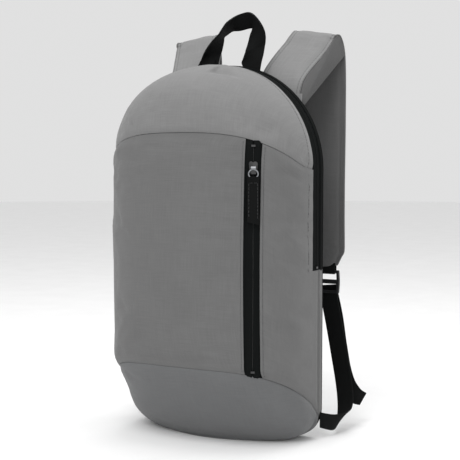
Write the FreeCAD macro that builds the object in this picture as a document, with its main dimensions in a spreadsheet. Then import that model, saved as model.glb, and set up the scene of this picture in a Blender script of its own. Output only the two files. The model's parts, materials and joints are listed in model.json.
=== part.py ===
import FreeCAD, Part
import math
import os

import Sketcher
from FreeCAD import Placement, Rotation, Vector

# A small daypack: a fabric shell closed by an arched zip, a front pocket with a straight zip,
# a padded back, a carrying handle and two shoulder straps with ladder locks and webbing.
# +Z is up, the front faces -Y and the back panel faces +Y. Millimetres.
# Every piece is laid out from the back edge of the fabric (y = 0 there) and then moved by
# half the base depth, so that the origin ends up in the middle of the flat base.

SIZES = [
    ("bag_height", 400, "floor to the top of the fabric arch"),
    ("arch_radius", 111, "radius of the top arch, half the width of the back"),
    ("corner_radius", 34, "rounding of the two bottom corners"),
    ("depth_low", 107, "depth of the bag at the bottom seam"),
    ("depth_high", 104, "depth of the bag at the yoke seam"),
    ("front_bulge", 4, "how far the filled front stands out between the seams"),
    ("base_depth", 48, "depth of the flat base"),
    ("bottom_seam_mid", 85, "height of the bottom seam at the middle"),
    ("bottom_seam_side", 28, "height of the bottom seam at the back edge"),
    ("yoke_seam_mid", 327, "height of the yoke seam at the middle"),
    ("fabric", 1.4, "thickness of the coated fabric with its lining"),
    ("seam_gap", 0.4, "clearance between neighbouring panels"),
    ("zip_width", 16, "width of a zip, both tapes together"),
    ("zip_slit", 1.0, "gap between the two tapes of a zip"),
    ("tape", 1.0, "thickness of a zip tape"),
    ("coil_width", 2.5, "width of one half of a zip chain"),
    ("coil_height", 1.9, "height of a zip chain behind the tape"),
    ("main_zip_end", 183, "height of both ends of the main zip"),
    ("pocket_zip_x", 80, "sideways place of the pocket zip"),
    ("pocket_depth", 12, "space between the front panel and the pocket lining"),
    ("lining", 0.8, "thickness of a lining cloth"),
    ("back_foam", 4, "thickness of the foam in the back"),
    ("band_height", 24, "height of the band that the straps are sewn on"),
    ("band_thick", 1, "thickness of that band"),
    ("band_margin", 3, "how far that band reaches past the straps"),
    ("band_base", 345, "height of that band's lower edge"),
    ("slider_length", 13, "length of a zip slider"),
    ("slider_width", 9, "width of a zip slider"),
    ("slider_plate", 1.2, "thickness of a slider's plates"),
    ("slider_play", 0.4, "clearance between a slider and the zip"),
    ("bar_radius", 0.8, "radius of the crossbar that a puller hangs on"),
    ("bar_play", 0.08, "clearance between the crossbar and the puller's eye"),
    ("bar_height", 3.9, "height of the crossbar above the tape"),
    ("link_length", 9, "length of the metal link above a pull tab"),
    ("puller_length", 18, "length of a plain metal puller"),
    ("slider_parting", 9, "space between the two sliders of the main zip when it is closed"),
    ("tab_length", 48, "length of a pull tab"),
    ("tab_width", 12, "width of a pull tab"),
    ("tab_thick", 1.6, "thickness of a pull tab"),
    ("handle_width", 22, "width of the handle's webbing"),
    ("handle_span", 76, "width of the carrying handle over its feet"),
    ("handle_rise", 60, "height of the carrying handle above the bag"),
    ("handle_lean", 14, "angle by which the handle leans back, degrees"),
    ("webbing", 2.0, "thickness of the handle's webbing"),
    ("strap_width", 54, "width of a shoulder strap"),
    ("strap_tip", 32, "width of a shoulder strap at its lower end"),
    ("strap_foam", 4, "thickness of the foam in a strap"),
    ("strap_cloth", 0.9, "thickness of the cloth on a strap"),
    ("strap_x", 56, "sideways place where a strap is sewn on"),
    ("strap_reach", 66, "how far a strap hangs behind the back"),
    ("strap_join", 402, "height where the swinging part of a strap begins"),
    ("strap_parting", 2.5, "space between the sewn-on end of a strap and the swinging part"),
    ("strap_lean", 30, "room over the back in which a strap is cut into its sewn and its swinging part"),
    ("strap_lift", 2, "space between the back and a sewn-on strap"),
    ("strap_crest", 437, "height of the top of a strap"),
    ("strap_end", 178, "height of a strap's lower end"),
    ("cord_width", 20, "width of the lower webbing"),
    ("cord_thick", 1.4, "thickness of the lower webbing"),
    ("lock_rail", 3, "width of a ladder lock's rails and bars"),
    ("lock_play", 1, "clearance between the webbing and the lock's rails"),
    ("lock_width", "=cord_width + 2 * lock_play + 2 * lock_rail", "width of a ladder lock"),
    ("lock_height", 26, "height of a ladder lock"),
    ("lock_thick", 3.6, "thickness of a ladder lock"),
    ("loop_half", 3.4, "half the depth of the folded loop that holds a lock"),
    ("loop_tall", 7.4, "height of that loop"),
    ("loop_play", 0.4, "clearance between the loop and the bar inside it"),
    ("loop_wall", 1.2, "thickness of that loop's webbing"),
]

# How square the sections of the bag are: 2 is an ellipse, more is squarer.
SIDE_SQUARENESS, FRONT_SQUARENESS = 2.85, 3.3
BASE_SIDE_SQUARENESS, BASE_FRONT_SQUARENESS = 1.7, 1.6
TOP_ROUNDING, BOTTOM_SLOPE, BOTTOM_SEAM_DROP = 2.8, 1.09, 2.6
SIDE_SHARE = 0.12        # length of the flat side as a share of the way round the front
CREST_HALF_ANGLE = 1.5   # degrees of the arch left out at the very top, so no edge has zero length
FINE = 161               # places worked out along a line before it is divided evenly

doc = FreeCAD.newDocument("daypack")
sheet = doc.addObject("Spreadsheet::Sheet", "dims")
for row, (alias, value, note) in enumerate(SIZES, 1):
    sheet.set(f"A{row}", note)
    sheet.set(f"B{row}", str(value))
    sheet.setAlias(f"B{row}", alias)
doc.recompute()


def size(alias):
    return float(getattr(sheet, alias))


parts = []                                   # every finished sub-part, in the order it is made
seat = Vector(0, size("base_depth") / 2, 0)  # from the back edge to the middle of the base


def finish(piece, label, placement=Placement()):
    """Name a sub-part and put it in its place in the pack's frame."""
    piece.Label = label
    piece.Placement = Placement(seat, Rotation()).multiply(placement)
    parts.append(piece)
    return piece


def frame_at(point, across, along):
    """A placement whose x runs across, whose y runs along and whose z points outwards."""
    x, y = Vector(across).normalize(), Vector(along).normalize()
    z = x.cross(y).normalize()
    x = y.cross(z)
    return Placement(FreeCAD.Matrix(x.x, y.x, z.x, point.x, x.y, y.y, z.y, point.y,
                                    x.z, y.z, z.z, point.z, 0, 0, 0, 1))


# ---------------------------------------------------------------- the skin of the bag

arch_r, bag_h, band = size("arch_radius"), size("bag_height"), size("zip_width")
arch_z = bag_h - arch_r                      # height of the arch's centre
fabric, gap = size("fabric"), size("seam_gap")


def half_width(z, inset):
    if z > arch_z:
        return math.sqrt(max((arch_r - inset) ** 2 - (z - arch_z) ** 2, 0))
    corner = size("corner_radius")
    drop = max(corner - z, 0)
    return arch_r - inset - (corner - math.sqrt(corner ** 2 - drop ** 2))


def front_depth(z, inset):
    low, high = size("bottom_seam_mid"), size("yoke_seam_mid")
    deep_low, deep_high = size("depth_low") - inset, size("depth_high") - inset
    if z > high:
        rise = min((z - high) / (bag_h - inset - high), 1)
        return band + (deep_high - band) * math.sqrt(1 - rise ** TOP_ROUNDING)
    if z < low:
        return deep_low - (deep_low - size("base_depth") + inset) * (1 - z / low) ** BOTTOM_SLOPE
    up = (z - low) / (high - low)
    return deep_low + (deep_high - deep_low) * up + size("front_bulge") * 4 * up * (1 - up)


def squareness(z):
    down = max(1 - z / size("bottom_seam_mid"), 0)
    side = SIDE_SQUARENESS + (BASE_SIDE_SQUARENESS - SIDE_SQUARENESS) * down
    return side, FRONT_SQUARENESS + (BASE_FRONT_SQUARENESS - FRONT_SQUARENESS) * down


def skin(turn, z, inset=0.0):
    """A point of the skin: turn is -1 on the left, 0 in front and 1 on the right.

    Past -1 and 1 the skin runs straight back along the side, a zip's width to each whole turn.
    """
    side, front = squareness(z)
    wide, deep = half_width(z, inset), front_depth(z, inset)
    if abs(turn) >= 1:
        return Vector(math.copysign(wide, turn), -band * (2 - abs(turn)), z)
    angle = math.pi / 2 * abs(turn)
    x = math.copysign(wide * math.sin(angle) ** (2 / side), turn)
    return Vector(x, -band - (deep - band) * math.cos(angle) ** (2 / front), z)


def turn_at(x, z, inset=0.0):
    side, _ = squareness(z)
    share = min(abs(x) / half_width(z, inset), 1)
    return math.copysign(math.asin(share ** (side / 2)) * 2 / math.pi, x)


def bottom_seam(turn):
    mid, edge = size("bottom_seam_mid"), size("bottom_seam_side")
    way = (min(abs(turn), 1) + max(abs(turn) - 1, 0) * SIDE_SHARE) / (1 + SIDE_SHARE)
    return mid + (edge - mid) * way ** BOTTOM_SEAM_DROP


def yoke_seam(turn):
    mid = size("yoke_seam_mid")
    return mid + (arch_z - mid) * min(abs(turn), 1) ** 2


def spread(start, end, count):
    return [start + (end - start) * i / (count - 1) for i in range(count)]


def sheet_solid(outer, inner):
    """A closed solid between two grids of points, smooth across both faces."""
    faces, edges = [], []
    for grid in (outer, inner):
        surface = Part.BSplineSurface()
        surface.interpolate(grid)
        u0, u1, v0, v1 = surface.bounds()
        faces.append(surface.toShape())
        edges.append([curve.toShape() for curve in (surface.uIso(u0), surface.uIso(u1),
                                                    surface.vIso(v0), surface.vIso(v1))])
    faces += [Part.makeRuledSurface(one, two, 1) for one, two in zip(*edges)]
    shell = Part.makeShell(faces)
    shell.sewShape()
    solid = Part.Solid(shell)
    if solid.Volume < 0:
        solid.reverse()
    return solid


def soft(label, shape):
    piece = doc.addObject("Part::Feature", label)
    piece.Shape = shape
    return finish(piece, label)


def evenly(points, count):
    """The same line with its points an equal distance apart."""
    reach = [0.0]
    for one, two in zip(points, points[1:]):
        reach.append(reach[-1] + (two - one).Length)
    even, i = [], 0
    for goal in spread(0, reach[-1], count):
        while i < len(points) - 2 and reach[i + 1] < goal:
            i += 1
        step = reach[i + 1] - reach[i]
        share = min((goal - reach[i]) / step, 1) if step else 0
        even.append(points[i] + (points[i + 1] - points[i]) * share)
    return even


def panel(first, last, count, rows, point, inset=0.0, thick=fabric):
    """A skin panel: point(column, row, inset) gives its places, and thick its wall."""
    grids = [[evenly([point(column, row, depth) for column in spread(first, last, FINE)], count)
              for row in rows] for depth in (inset, inset + thick)]
    return sheet_solid(*grids)


# ---------------------------------------------------------------- fabric panels

def seam_place(seam):
    """Where the pocket zip's middle meets a seam."""
    z = seam(0)
    for _ in range(8):
        z = seam(turn_at(size("pocket_zip_x"), z))
    return skin(turn_at(size("pocket_zip_x"), z), z)


zip_low, zip_high = seam_place(bottom_seam), seam_place(yoke_seam)
pocket_turn = turn_at(size("pocket_zip_x"), arch_z)
tangent = skin(pocket_turn + 0.02, arch_z) - skin(pocket_turn - 0.02, arch_z)
across_zip = Vector(tangent.x, tangent.y, 0).normalize()
zip_reach = (band / 2 + gap) * across_zip.x


def middle_point(side):
    """Places of a panel between the seams, from one side of the pocket zip to the back edge."""
    edge_x = size("pocket_zip_x") + side * zip_reach

    def point(column, row, inset):
        z, turn = arch_z / 2, 0
        for _ in range(6):
            zip_turn = turn_at(edge_x, z, inset)
            turn = zip_turn + (2 * side - zip_turn) * column
            low, high = bottom_seam(turn) + gap / 2, yoke_seam(turn) - gap / 2
            z = low + (high - low) * row
        return skin(turn, z, inset)
    return point


def notched(solid):
    """The panel with the room for the main zip cut out of its back edge."""
    tall = bag_h - size("main_zip_end")
    room = Part.makeBox(4 * arch_r, band + gap + 1, tall,
                        Vector(-2 * arch_r, -band - gap, size("main_zip_end")))
    return solid.cut(room)


soft("front_panel", notched(panel(0, 1, 33, spread(0, 1, 9), middle_point(-1))))
soft("side_panel", notched(panel(0, 1, 13, spread(0, 1, 9), middle_point(1))))


def yoke_point(column, row, inset):
    start = math.acos((yoke_seam(column) + gap / 2 - arch_z) / arch_r) if abs(column) < 1 else math.pi / 2
    angle = start + (math.radians(CREST_HALF_ANGLE) - start) * row
    return skin(column, arch_z + (arch_r - inset) * math.cos(angle), inset)


def bottom_point(column, row, inset):
    return skin(column, gap + (bottom_seam(column) - 1.5 * gap) * row ** 1.7, inset)


def lining_point(column, row, inset):
    low, high = bottom_seam(column) + 2 * fabric, yoke_seam(column) - 2 * fabric
    return skin(column, low + (high - low) * row, inset)


soft("top_yoke", panel(-1, 1, 33, spread(0, 1, 11), yoke_point))
soft("bottom_panel", panel(-2, 2, 41, spread(0, 1, 9), bottom_point))
soft("pocket_lining", panel(-0.75, 0.75, 17, spread(0, 1, 7), lining_point,
                            size("pocket_depth"), size("lining")))


def floor_plate():
    """The flat base: a curve inside the floor edge of the skin, closed along the back edge."""
    reach = 1 - 0.01                            # just short of the corners, so the ends stay separate
    edge = [skin(turn, 0, fabric + gap) for turn in spread(-reach, reach, 17)]
    front = Part.BSplineCurve()
    front.interpolate(edge)
    left, right = Vector(edge[0].x, 0, 0), Vector(edge[-1].x, 0, 0)
    outline = Part.Wire([front.toShape(), Part.makeLine(edge[-1], right), Part.makeLine(right, left),
                         Part.makeLine(left, edge[0])])
    return Part.Face(outline).extrude(Vector(0, 0, fabric))


soft("base_panel", floor_plate())


# ---------------------------------------------------------------- sketch helpers

def sketch_on(body, role):
    sketch = body.newObject("Sketcher::SketchObject", body.Name + "_outline")
    support = next(f for f in body.Origin.OriginFeatures if f.Role == role)
    sketch.AttachmentSupport = [(support, "")]
    sketch.MapMode = "FlatFace"
    return sketch


def constrain(sketch, *entries):
    sketch.addConstraint([Sketcher.Constraint(*entry) for entry in entries])


def dimension(sketch, expression, *entry):
    """A sized constraint that takes its value from the sheet."""
    index = sketch.addConstraint(Sketcher.Constraint(*entry))
    sketch.setExpression(f"Constraints[{index}]", expression)


def line(x0, y0, x1, y1):
    return Part.LineSegment(Vector(x0, y0, 0), Vector(x1, y1, 0))


def half_circle(radius, z):
    return Part.ArcOfCircle(Part.Circle(Vector(0, z, 0), Vector(0, 0, 1), radius), 0, math.pi)


def arch_plate(sketch, inset):
    """The back's outline: a flat bottom, two upright sides and a round top."""
    r = arch_r - size("fabric") if inset else arch_r
    sketch.addGeometry([line(r, 0, r, arch_z), half_circle(r, arch_z),
                        line(-r, arch_z, -r, 0), line(-r, 0, r, 0)])
    constrain(sketch, ("Tangent", 0, 2, 1, 1), ("Tangent", 1, 2, 2, 1), ("Coincident", 2, 2, 3, 1),
              ("Coincident", 3, 2, 0, 1), ("Vertical", 0), ("Vertical", 2), ("Horizontal", 3),
              ("PointOnObject", 1, 3, -2), ("PointOnObject", 0, 1, -1))
    dimension(sketch, f"dims.arch_radius - {inset}", "Radius", 1, r)
    dimension(sketch, "dims.bag_height - dims.arch_radius", "DistanceY", -1, 1, 1, 3, arch_z)


def arch_ring(sketch, outer, inner, low):
    """A strip that follows the back's outline, open at the bottom; the sizes are expressions."""
    r, q, z = arch_r, arch_r - 4, arch_z / 2
    sketch.addGeometry([line(r, z, r, arch_z), half_circle(r, arch_z), line(-r, arch_z, -r, z),
                        line(-r, z, -q, z), line(-q, z, -q, arch_z), half_circle(q, arch_z),
                        line(q, arch_z, q, z), line(q, z, r, z)])
    constrain(sketch, ("Tangent", 0, 2, 1, 1), ("Tangent", 1, 2, 2, 1), ("Coincident", 2, 2, 3, 1),
              ("Coincident", 3, 2, 4, 1), ("Tangent", 4, 2, 5, 2), ("Tangent", 5, 1, 6, 1),
              ("Coincident", 6, 2, 7, 1), ("Coincident", 7, 2, 0, 1), ("Vertical", 0), ("Vertical", 2),
              ("Vertical", 4), ("Vertical", 6), ("Horizontal", 3), ("Horizontal", 7),
              ("Horizontal", 2, 2, 0, 1), ("PointOnObject", 1, 3, -2), ("Coincident", 1, 3, 5, 3))
    dimension(sketch, outer, "Radius", 1, r)
    dimension(sketch, inner, "Radius", 5, q)
    dimension(sketch, "dims.bag_height - dims.arch_radius", "DistanceY", -1, 1, 1, 3, arch_z)
    dimension(sketch, low, "DistanceY", -1, 1, 0, 1, z)


def pad(body, sketch, thickness, both_ways=False):
    feature = body.newObject("PartDesign::Pad", body.Name + "_pad")
    feature.Profile = sketch
    feature.Midplane = both_ways
    feature.setExpression("Length", thickness)
    doc.recompute()
    return feature


def new_body(label):
    return doc.addObject("PartDesign::Body", label)


# ---------------------------------------------------------------- the padded back

def round_corners(body, feature):
    low = [f"Edge{i}" for i, edge in enumerate(feature.Shape.Edges, 1)
           if all(abs(v.Point.z) < 0.01 for v in edge.Vertexes)
           and abs(abs(edge.CenterOfMass.x) - arch_r) < fabric + 1]
    rounded = body.newObject("PartDesign::Fillet", body.Name + "_corners")
    rounded.Base = (feature, low)
    rounded.setExpression("Radius", "dims.corner_radius")
    doc.recompute()


def back_layer(label, thickness, front, inset="0"):
    """A layer of the back; front is how far its front face is behind the fabric's back edge."""
    body = new_body(label)
    outline = sketch_on(body, "XZ_Plane")
    arch_plate(outline, inset if inset != "0" else 0)
    round_corners(body, pad(body, outline, f"dims.{thickness}"))
    finish(body, label, Placement(Vector(0, front + size(thickness), 0), Rotation()))
    return front + size(thickness) + 0.1


layer = back_layer("back_lining", "lining", gap)
layer = back_layer("back_foam", "back_foam", layer, "dims.fabric")
back_face = back_layer("back_panel", "fabric", layer)


def strip(label, outer, inner, low, front, width):
    """A strip along the arch, width deep from front towards the back."""
    body = new_body(label)
    outline = sketch_on(body, "XZ_Plane")
    arch_ring(outline, outer, inner, low)
    pad(body, outline, width)
    return finish(body, label, Placement(Vector(0, front, 0), Rotation()))


strip("seam_binding", "dims.arch_radius - dims.fabric - 0.3", "dims.arch_radius - dims.fabric - 3.5",
      "dims.bottom_seam_side + 5", -0.2, "2.4")

# ---------------------------------------------------------------- the main zip

TAPE_WIDTH = "(dims.zip_width - dims.zip_slit) / 2 - dims.seam_gap"
COIL_TOP, COIL_BASE = "dims.arch_radius - dims.tape - 0.05", "dims.arch_radius - dims.tape - dims.coil_height"
slit = size("zip_slit")

strip("main_zip_tape_back", "dims.arch_radius", "dims.arch_radius - dims.tape",
      "dims.main_zip_end + dims.seam_gap", -gap, TAPE_WIDTH)
strip("main_zip_tape_front", "dims.arch_radius", "dims.arch_radius - dims.tape",
      "dims.main_zip_end + dims.seam_gap", -(band + slit) / 2, TAPE_WIDTH)
strip("main_zip_coil_back", COIL_TOP, COIL_BASE, "dims.main_zip_end + 2",
      -(band - slit) / 2 + size("coil_width"), "dims.coil_width")
strip("main_zip_coil_front", COIL_TOP, COIL_BASE, "dims.main_zip_end + 2",
      -(band + slit) / 2, "dims.coil_width")


def box(name, length, width, height, x, y, z):
    """A box whose sizes and place are expressions of the sheet, centred on x and y."""
    made = doc.addObject("Part::Box", name)
    for prop, expression in (("Length", length), ("Width", width), ("Height", height)):
        made.setExpression(prop, expression)
    made.setExpression("Placement.Base.x", f"{x} - ({length}) / 2")
    made.setExpression("Placement.Base.y", f"{y} - ({width}) / 2")
    made.setExpression("Placement.Base.z", z)
    return made


def joined(name, kind, shapes):
    made = doc.addObject(kind, name)
    if kind == "Part::Cut":
        made.Base, made.Tool = shapes
    elif kind == "Part::Compound":
        made.Links = shapes
    else:
        made.Shapes = shapes
    doc.recompute()
    return made


def end_stops(label, first, second):
    """Two crimped stops, each across the slit, at the two placements."""
    stops = []
    for i, place in enumerate((first, second)):
        stop = box(f"{label}_{i}", "4", "2", "1.2", "0", "0", "0.1")
        doc.recompute()
        grown = doc.addObject("Part::Feature", f"{label}_placed_{i}")
        grown.Shape = stop.Shape.transformed(place.toMatrix())
        stops.append(grown)
    finish(joined(label, "Part::Compound", stops), label)


left_end = Vector(-arch_r, -band / 2, size("main_zip_end") + 3)
right_end = Vector(arch_r, -band / 2, size("main_zip_end") + 3)
end_stops("main_zip_stops", frame_at(left_end, Vector(0, -1, 0), Vector(0, 0, 1)),
          frame_at(right_end, Vector(0, 1, 0), Vector(0, 0, 1)))

# ---------------------------------------------------------------- zip sliders and pullers
# A slider is two plates joined by a web in the slit, with a crossbar between two lugs.
# Its x runs across the zip, its y along it, and z outwards, from the tape's outer face.

CHAIN = "dims.tape + dims.coil_height + dims.slider_play + 0.2"


def slider(label, placement):
    top = box(label + "_top", "dims.slider_width", "dims.slider_length", "dims.slider_plate",
              "0", "0", "dims.slider_play")
    low = box(label + "_low", "dims.slider_width", "dims.slider_length", "dims.slider_plate",
              "0", "0", f"-({CHAIN}) - dims.slider_plate")
    web = box(label + "_web", "dims.zip_slit - 0.4", "dims.slider_length / 2",
              f"{CHAIN} + 2 * dims.slider_play", "0", "0", f"-({CHAIN}) - 0.2")
    lugs = [box(f"{label}_lug_{i}", "1", "3", "dims.bar_height + dims.bar_radius - dims.slider_play - 0.2",
                f"{side} * (dims.slider_width / 2 - 1.2)", "0", "dims.slider_play + 0.5")
            for i, side in enumerate((-1, 1))]
    bar = doc.addObject("Part::Cylinder", label + "_bar")
    bar.setExpression("Radius", "dims.bar_radius")
    bar.setExpression("Height", "dims.slider_width - 2.4")
    bar.Placement = Placement(Vector(), Rotation(Vector(0, 1, 0), 90))
    bar.setExpression("Placement.Base.x", "1.2 - dims.slider_width / 2")
    bar.setExpression("Placement.Base.z", "dims.bar_height")
    whole = joined(label, "Part::MultiFuse", [top, low, web, bar] + lugs)
    return finish(whole, label, placement)


def puller(label, placement, length):
    """A metal puller with its eye round the crossbar; the placement of its hinge is returned."""
    eye = doc.addObject("Part::Cylinder", label + "_eye")
    hole = doc.addObject("Part::Cylinder", label + "_hole")
    eye.setExpression("Radius", "dims.bar_radius + dims.bar_play + 0.8")
    hole.setExpression("Radius", "dims.bar_radius + dims.bar_play")
    for cylinder, width in ((eye, "dims.slider_width - 4.2"), (hole, "dims.slider_width")):
        cylinder.setExpression("Height", width)
        cylinder.Placement = Placement(Vector(), Rotation(Vector(0, 1, 0), 90))
        cylinder.setExpression("Placement.Base.x", f"-({width}) / 2")
    shank = box(label + "_shank", "dims.slider_width - 4.2", length, "1.2", "0", f"-{length} / 2", "-0.6")
    solid = joined(label + "_solid", "Part::MultiFuse", [eye, shank])
    hinge = placement.multiply(Placement(Vector(0, 0, size("bar_height")), Rotation()))
    finish(joined(label, "Part::Cut", [solid, hole]), label, hinge)
    return hinge


def pull_tab(label, hinge):
    """The long tab below a puller's link, with a slanted lower edge."""
    tab = new_body(label)
    outline = sketch_on(tab, "XY_Plane")
    w, top, low = size("tab_width") / 2, -size("link_length"), -size("link_length") - size("tab_length")
    slant = w / 2
    outline.addGeometry([line(-w, top, w, top), line(w, top, w, low), line(w, low, -w, low + slant),
                         line(-w, low + slant, -w, top)])
    constrain(outline, ("Coincident", 0, 2, 1, 1), ("Coincident", 1, 2, 2, 1), ("Coincident", 2, 2, 3, 1),
              ("Coincident", 3, 2, 0, 1), ("Vertical", 1), ("Vertical", 3), ("Symmetric", 0, 1, 0, 2, -2))
    dimension(outline, "dims.tab_width", "DistanceX", 0, 1, 0, 2, 2 * w)
    dimension(outline, "dims.link_length", "DistanceY", 0, 1, -1, 1, -top)
    dimension(outline, "dims.tab_length", "DistanceY", 2, 1, 0, 1, top - low)
    dimension(outline, "dims.tab_width / 4", "DistanceY", 2, 1, 2, 2, slant)
    pad(tab, outline, "dims.tab_thick", both_ways=True)
    finish(tab, label, hinge)


half_parting = (size("slider_length") + size("slider_parting")) / 2
tilt = math.degrees(half_parting / arch_r)
radial = Vector(-math.cos(math.radians(tilt)), 0, math.sin(math.radians(tilt)))
upper_place = frame_at(Vector(0, -band / 2, arch_z) + radial * arch_r, Vector(0, -1, 0),
                       Vector(0, -1, 0).cross(radial) * -1)
lower_place = frame_at(Vector(-arch_r, -band / 2, arch_z - half_parting), Vector(0, -1, 0), Vector(0, 0, 1))
slider("main_slider_upper", upper_place)
puller("main_puller_upper", upper_place, "dims.puller_length")
slider("main_slider_lower", lower_place)
puller("main_puller_lower", lower_place, "dims.puller_length")

# ---------------------------------------------------------------- the pocket zip

up_zip = (zip_high - zip_low).normalize()
outwards = across_zip.cross(up_zip)
zip_middle = (zip_high + zip_low) * 0.5 + outwards * (size("front_bulge") / 3)
zip_length = (zip_high - zip_low).Length - 2 * gap - 6
pocket_place = frame_at(zip_middle, across_zip, up_zip)
half_tape = (band - slit) / 2 - gap
for name, side in (("left", -1), ("right", 1)):
    tape = box(f"pocket_tape_{name}_blank", TAPE_WIDTH, str(zip_length), "dims.tape",
               f"{side} * (dims.zip_slit / 2 + ({TAPE_WIDTH}) / 2)", "0", "-dims.tape")
    coil = box(f"pocket_coil_{name}_blank", "dims.coil_width", f"{zip_length} - 6", "dims.coil_height - 0.05",
               f"{side} * (dims.zip_slit + dims.coil_width) / 2", "0", "-dims.tape - dims.coil_height")
    for kind, blank in (("tape", tape), ("coil", coil)):
        piece = joined(f"pocket_{kind}_{name}_piece", "Part::Compound", [blank])
        finish(piece, f"pocket_zip_{kind}_{name}", pocket_place)

stop_place = zip_length / 2 - 2
end_stops("pocket_zip_stops", pocket_place.multiply(Placement(Vector(0, stop_place, 0), Rotation())),
          pocket_place.multiply(Placement(Vector(0, -stop_place, 0), Rotation())))
parked = zip_length / 2 - 24
pocket_slider_place = pocket_place.multiply(Placement(Vector(0, parked, 0), Rotation()))
slider("pocket_slider", pocket_slider_place)
pull_tab("pocket_pull_tab", puller("pocket_puller", pocket_slider_place, "dims.link_length"))

# ---------------------------------------------------------------- the carrying handle
# A flat loop of webbing, sewn into the top seam with both feet and leaning back a little.

handle = new_body("haul_handle")
outline = sketch_on(handle, "XZ_Plane")
span, webbing_width, rise = size("handle_span") / 2, size("handle_width"), size("handle_rise")
shoulder = rise - span
opening = span - webbing_width
outline.addGeometry([line(span, -6, span, shoulder), half_circle(span, shoulder),
                     line(-span, shoulder, -span, -6), line(-span, -6, -opening, -1),
                     line(-opening, -1, -opening, shoulder), half_circle(opening, shoulder),
                     line(opening, shoulder, opening, -1), line(opening, -1, span, -6)])
constrain(outline, ("Tangent", 0, 2, 1, 1), ("Tangent", 1, 2, 2, 1), ("Coincident", 2, 2, 3, 1),
          ("Coincident", 3, 2, 4, 1), ("Tangent", 4, 2, 5, 2), ("Tangent", 5, 1, 6, 1),
          ("Coincident", 6, 2, 7, 1), ("Coincident", 7, 2, 0, 1), ("Vertical", 0), ("Vertical", 2),
          ("Vertical", 4), ("Vertical", 6), ("Horizontal", 0, 1, 2, 2), ("Horizontal", 3, 2, 7, 1),
          ("Coincident", 1, 3, 5, 3), ("PointOnObject", 1, 3, -2))
SEAM = "dims.arch_radius + dims.seam_gap"
dimension(outline, "dims.handle_span / 2", "Radius", 1, span)
dimension(outline, "dims.handle_span / 2 - dims.handle_width", "Radius", 5, opening)
dimension(outline, f"{SEAM} - sqrt(({SEAM})^2 - (dims.handle_span / 2)^2)", "DistanceY", 0, 1, -1, 1, 6)
dimension(outline, f"{SEAM} - sqrt(({SEAM})^2 - (dims.handle_span / 2 - dims.handle_width)^2)",
          "DistanceY", 7, 1, -1, 1, 1)
dimension(outline, "dims.handle_rise - dims.handle_span / 2", "DistanceY", -1, 1, 1, 3, shoulder)
pad(handle, outline, "dims.webbing", both_ways=True)
handle_foot = Vector(0, back_face / 2, bag_h + gap)
finish(handle, "haul_handle", Placement(handle_foot, Rotation(Vector(1, 0, 0), -size("handle_lean"))))

# ---------------------------------------------------------------- shoulder straps
# Each strap is cloth, foam and lining, sewn on the back below the arch. It rises, folds over
# at its crest and hangs behind the back. A ladder lock joins it to the webbing from the
# bottom corner, and the webbing's free end hangs below the lock.

anchor_band = doc.addObject("Part::Box", "anchor_band")
anchor_band.setExpression("Length", "2 * dims.strap_x + dims.strap_width + 2 * dims.band_margin")
anchor_band.setExpression("Width", "dims.band_thick")
anchor_band.setExpression("Height", "dims.band_height")
band_end = size("strap_x") + size("strap_width") / 2 + size("band_margin")
finish(anchor_band, "anchor_band", Placement(Vector(-band_end, back_face, size("band_base")), Rotation()))

strap_y = back_face + size("strap_lift") + size("strap_foam") / 2 + size("strap_cloth")  # its middle
join = size("strap_join")
RIBBON_ROWS = 57


def ribbon(stations, width, low, high):
    """A flat strip along stations (place, width direction, share of the width), low to high thick."""
    curve = Part.BSplineCurve()
    curve.interpolate([place for place, _, _ in stations])
    marks = [curve.parameter(place) for place, _, _ in stations]
    rows = []
    for place in curve.discretize(Number=RIBBON_ROWS):
        at = curve.parameter(place)
        i = max(k for k in range(len(marks) - 1) if marks[k] <= at + 1e-9)
        part = min((at - marks[i]) / (marks[i + 1] - marks[i]), 1)
        (_, old, wide), (_, new, narrow) = stations[i], stations[i + 1]
        along = Vector(*curve.tangent(at)[0])
        across = (old * (1 - part) + new * part).normalize()
        rows.append((place, across, across.cross(along).normalize(), width * (wide + (narrow - wide) * part)))
    return sheet_solid(*[[[place + normal * offset + across * (wide * step) for step in spread(-0.5, 0.5, 5)]
                          for place, across, normal, wide in rows] for offset in (high, low)])


def mirrored(stations, side):
    """The same strip on the other side of the pack, with its outside still outside."""
    return [(Vector(side * at.x, at.y, at.z), Vector(across.x, side * across.y, side * across.z), share)
            for at, across, share in stations]


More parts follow.
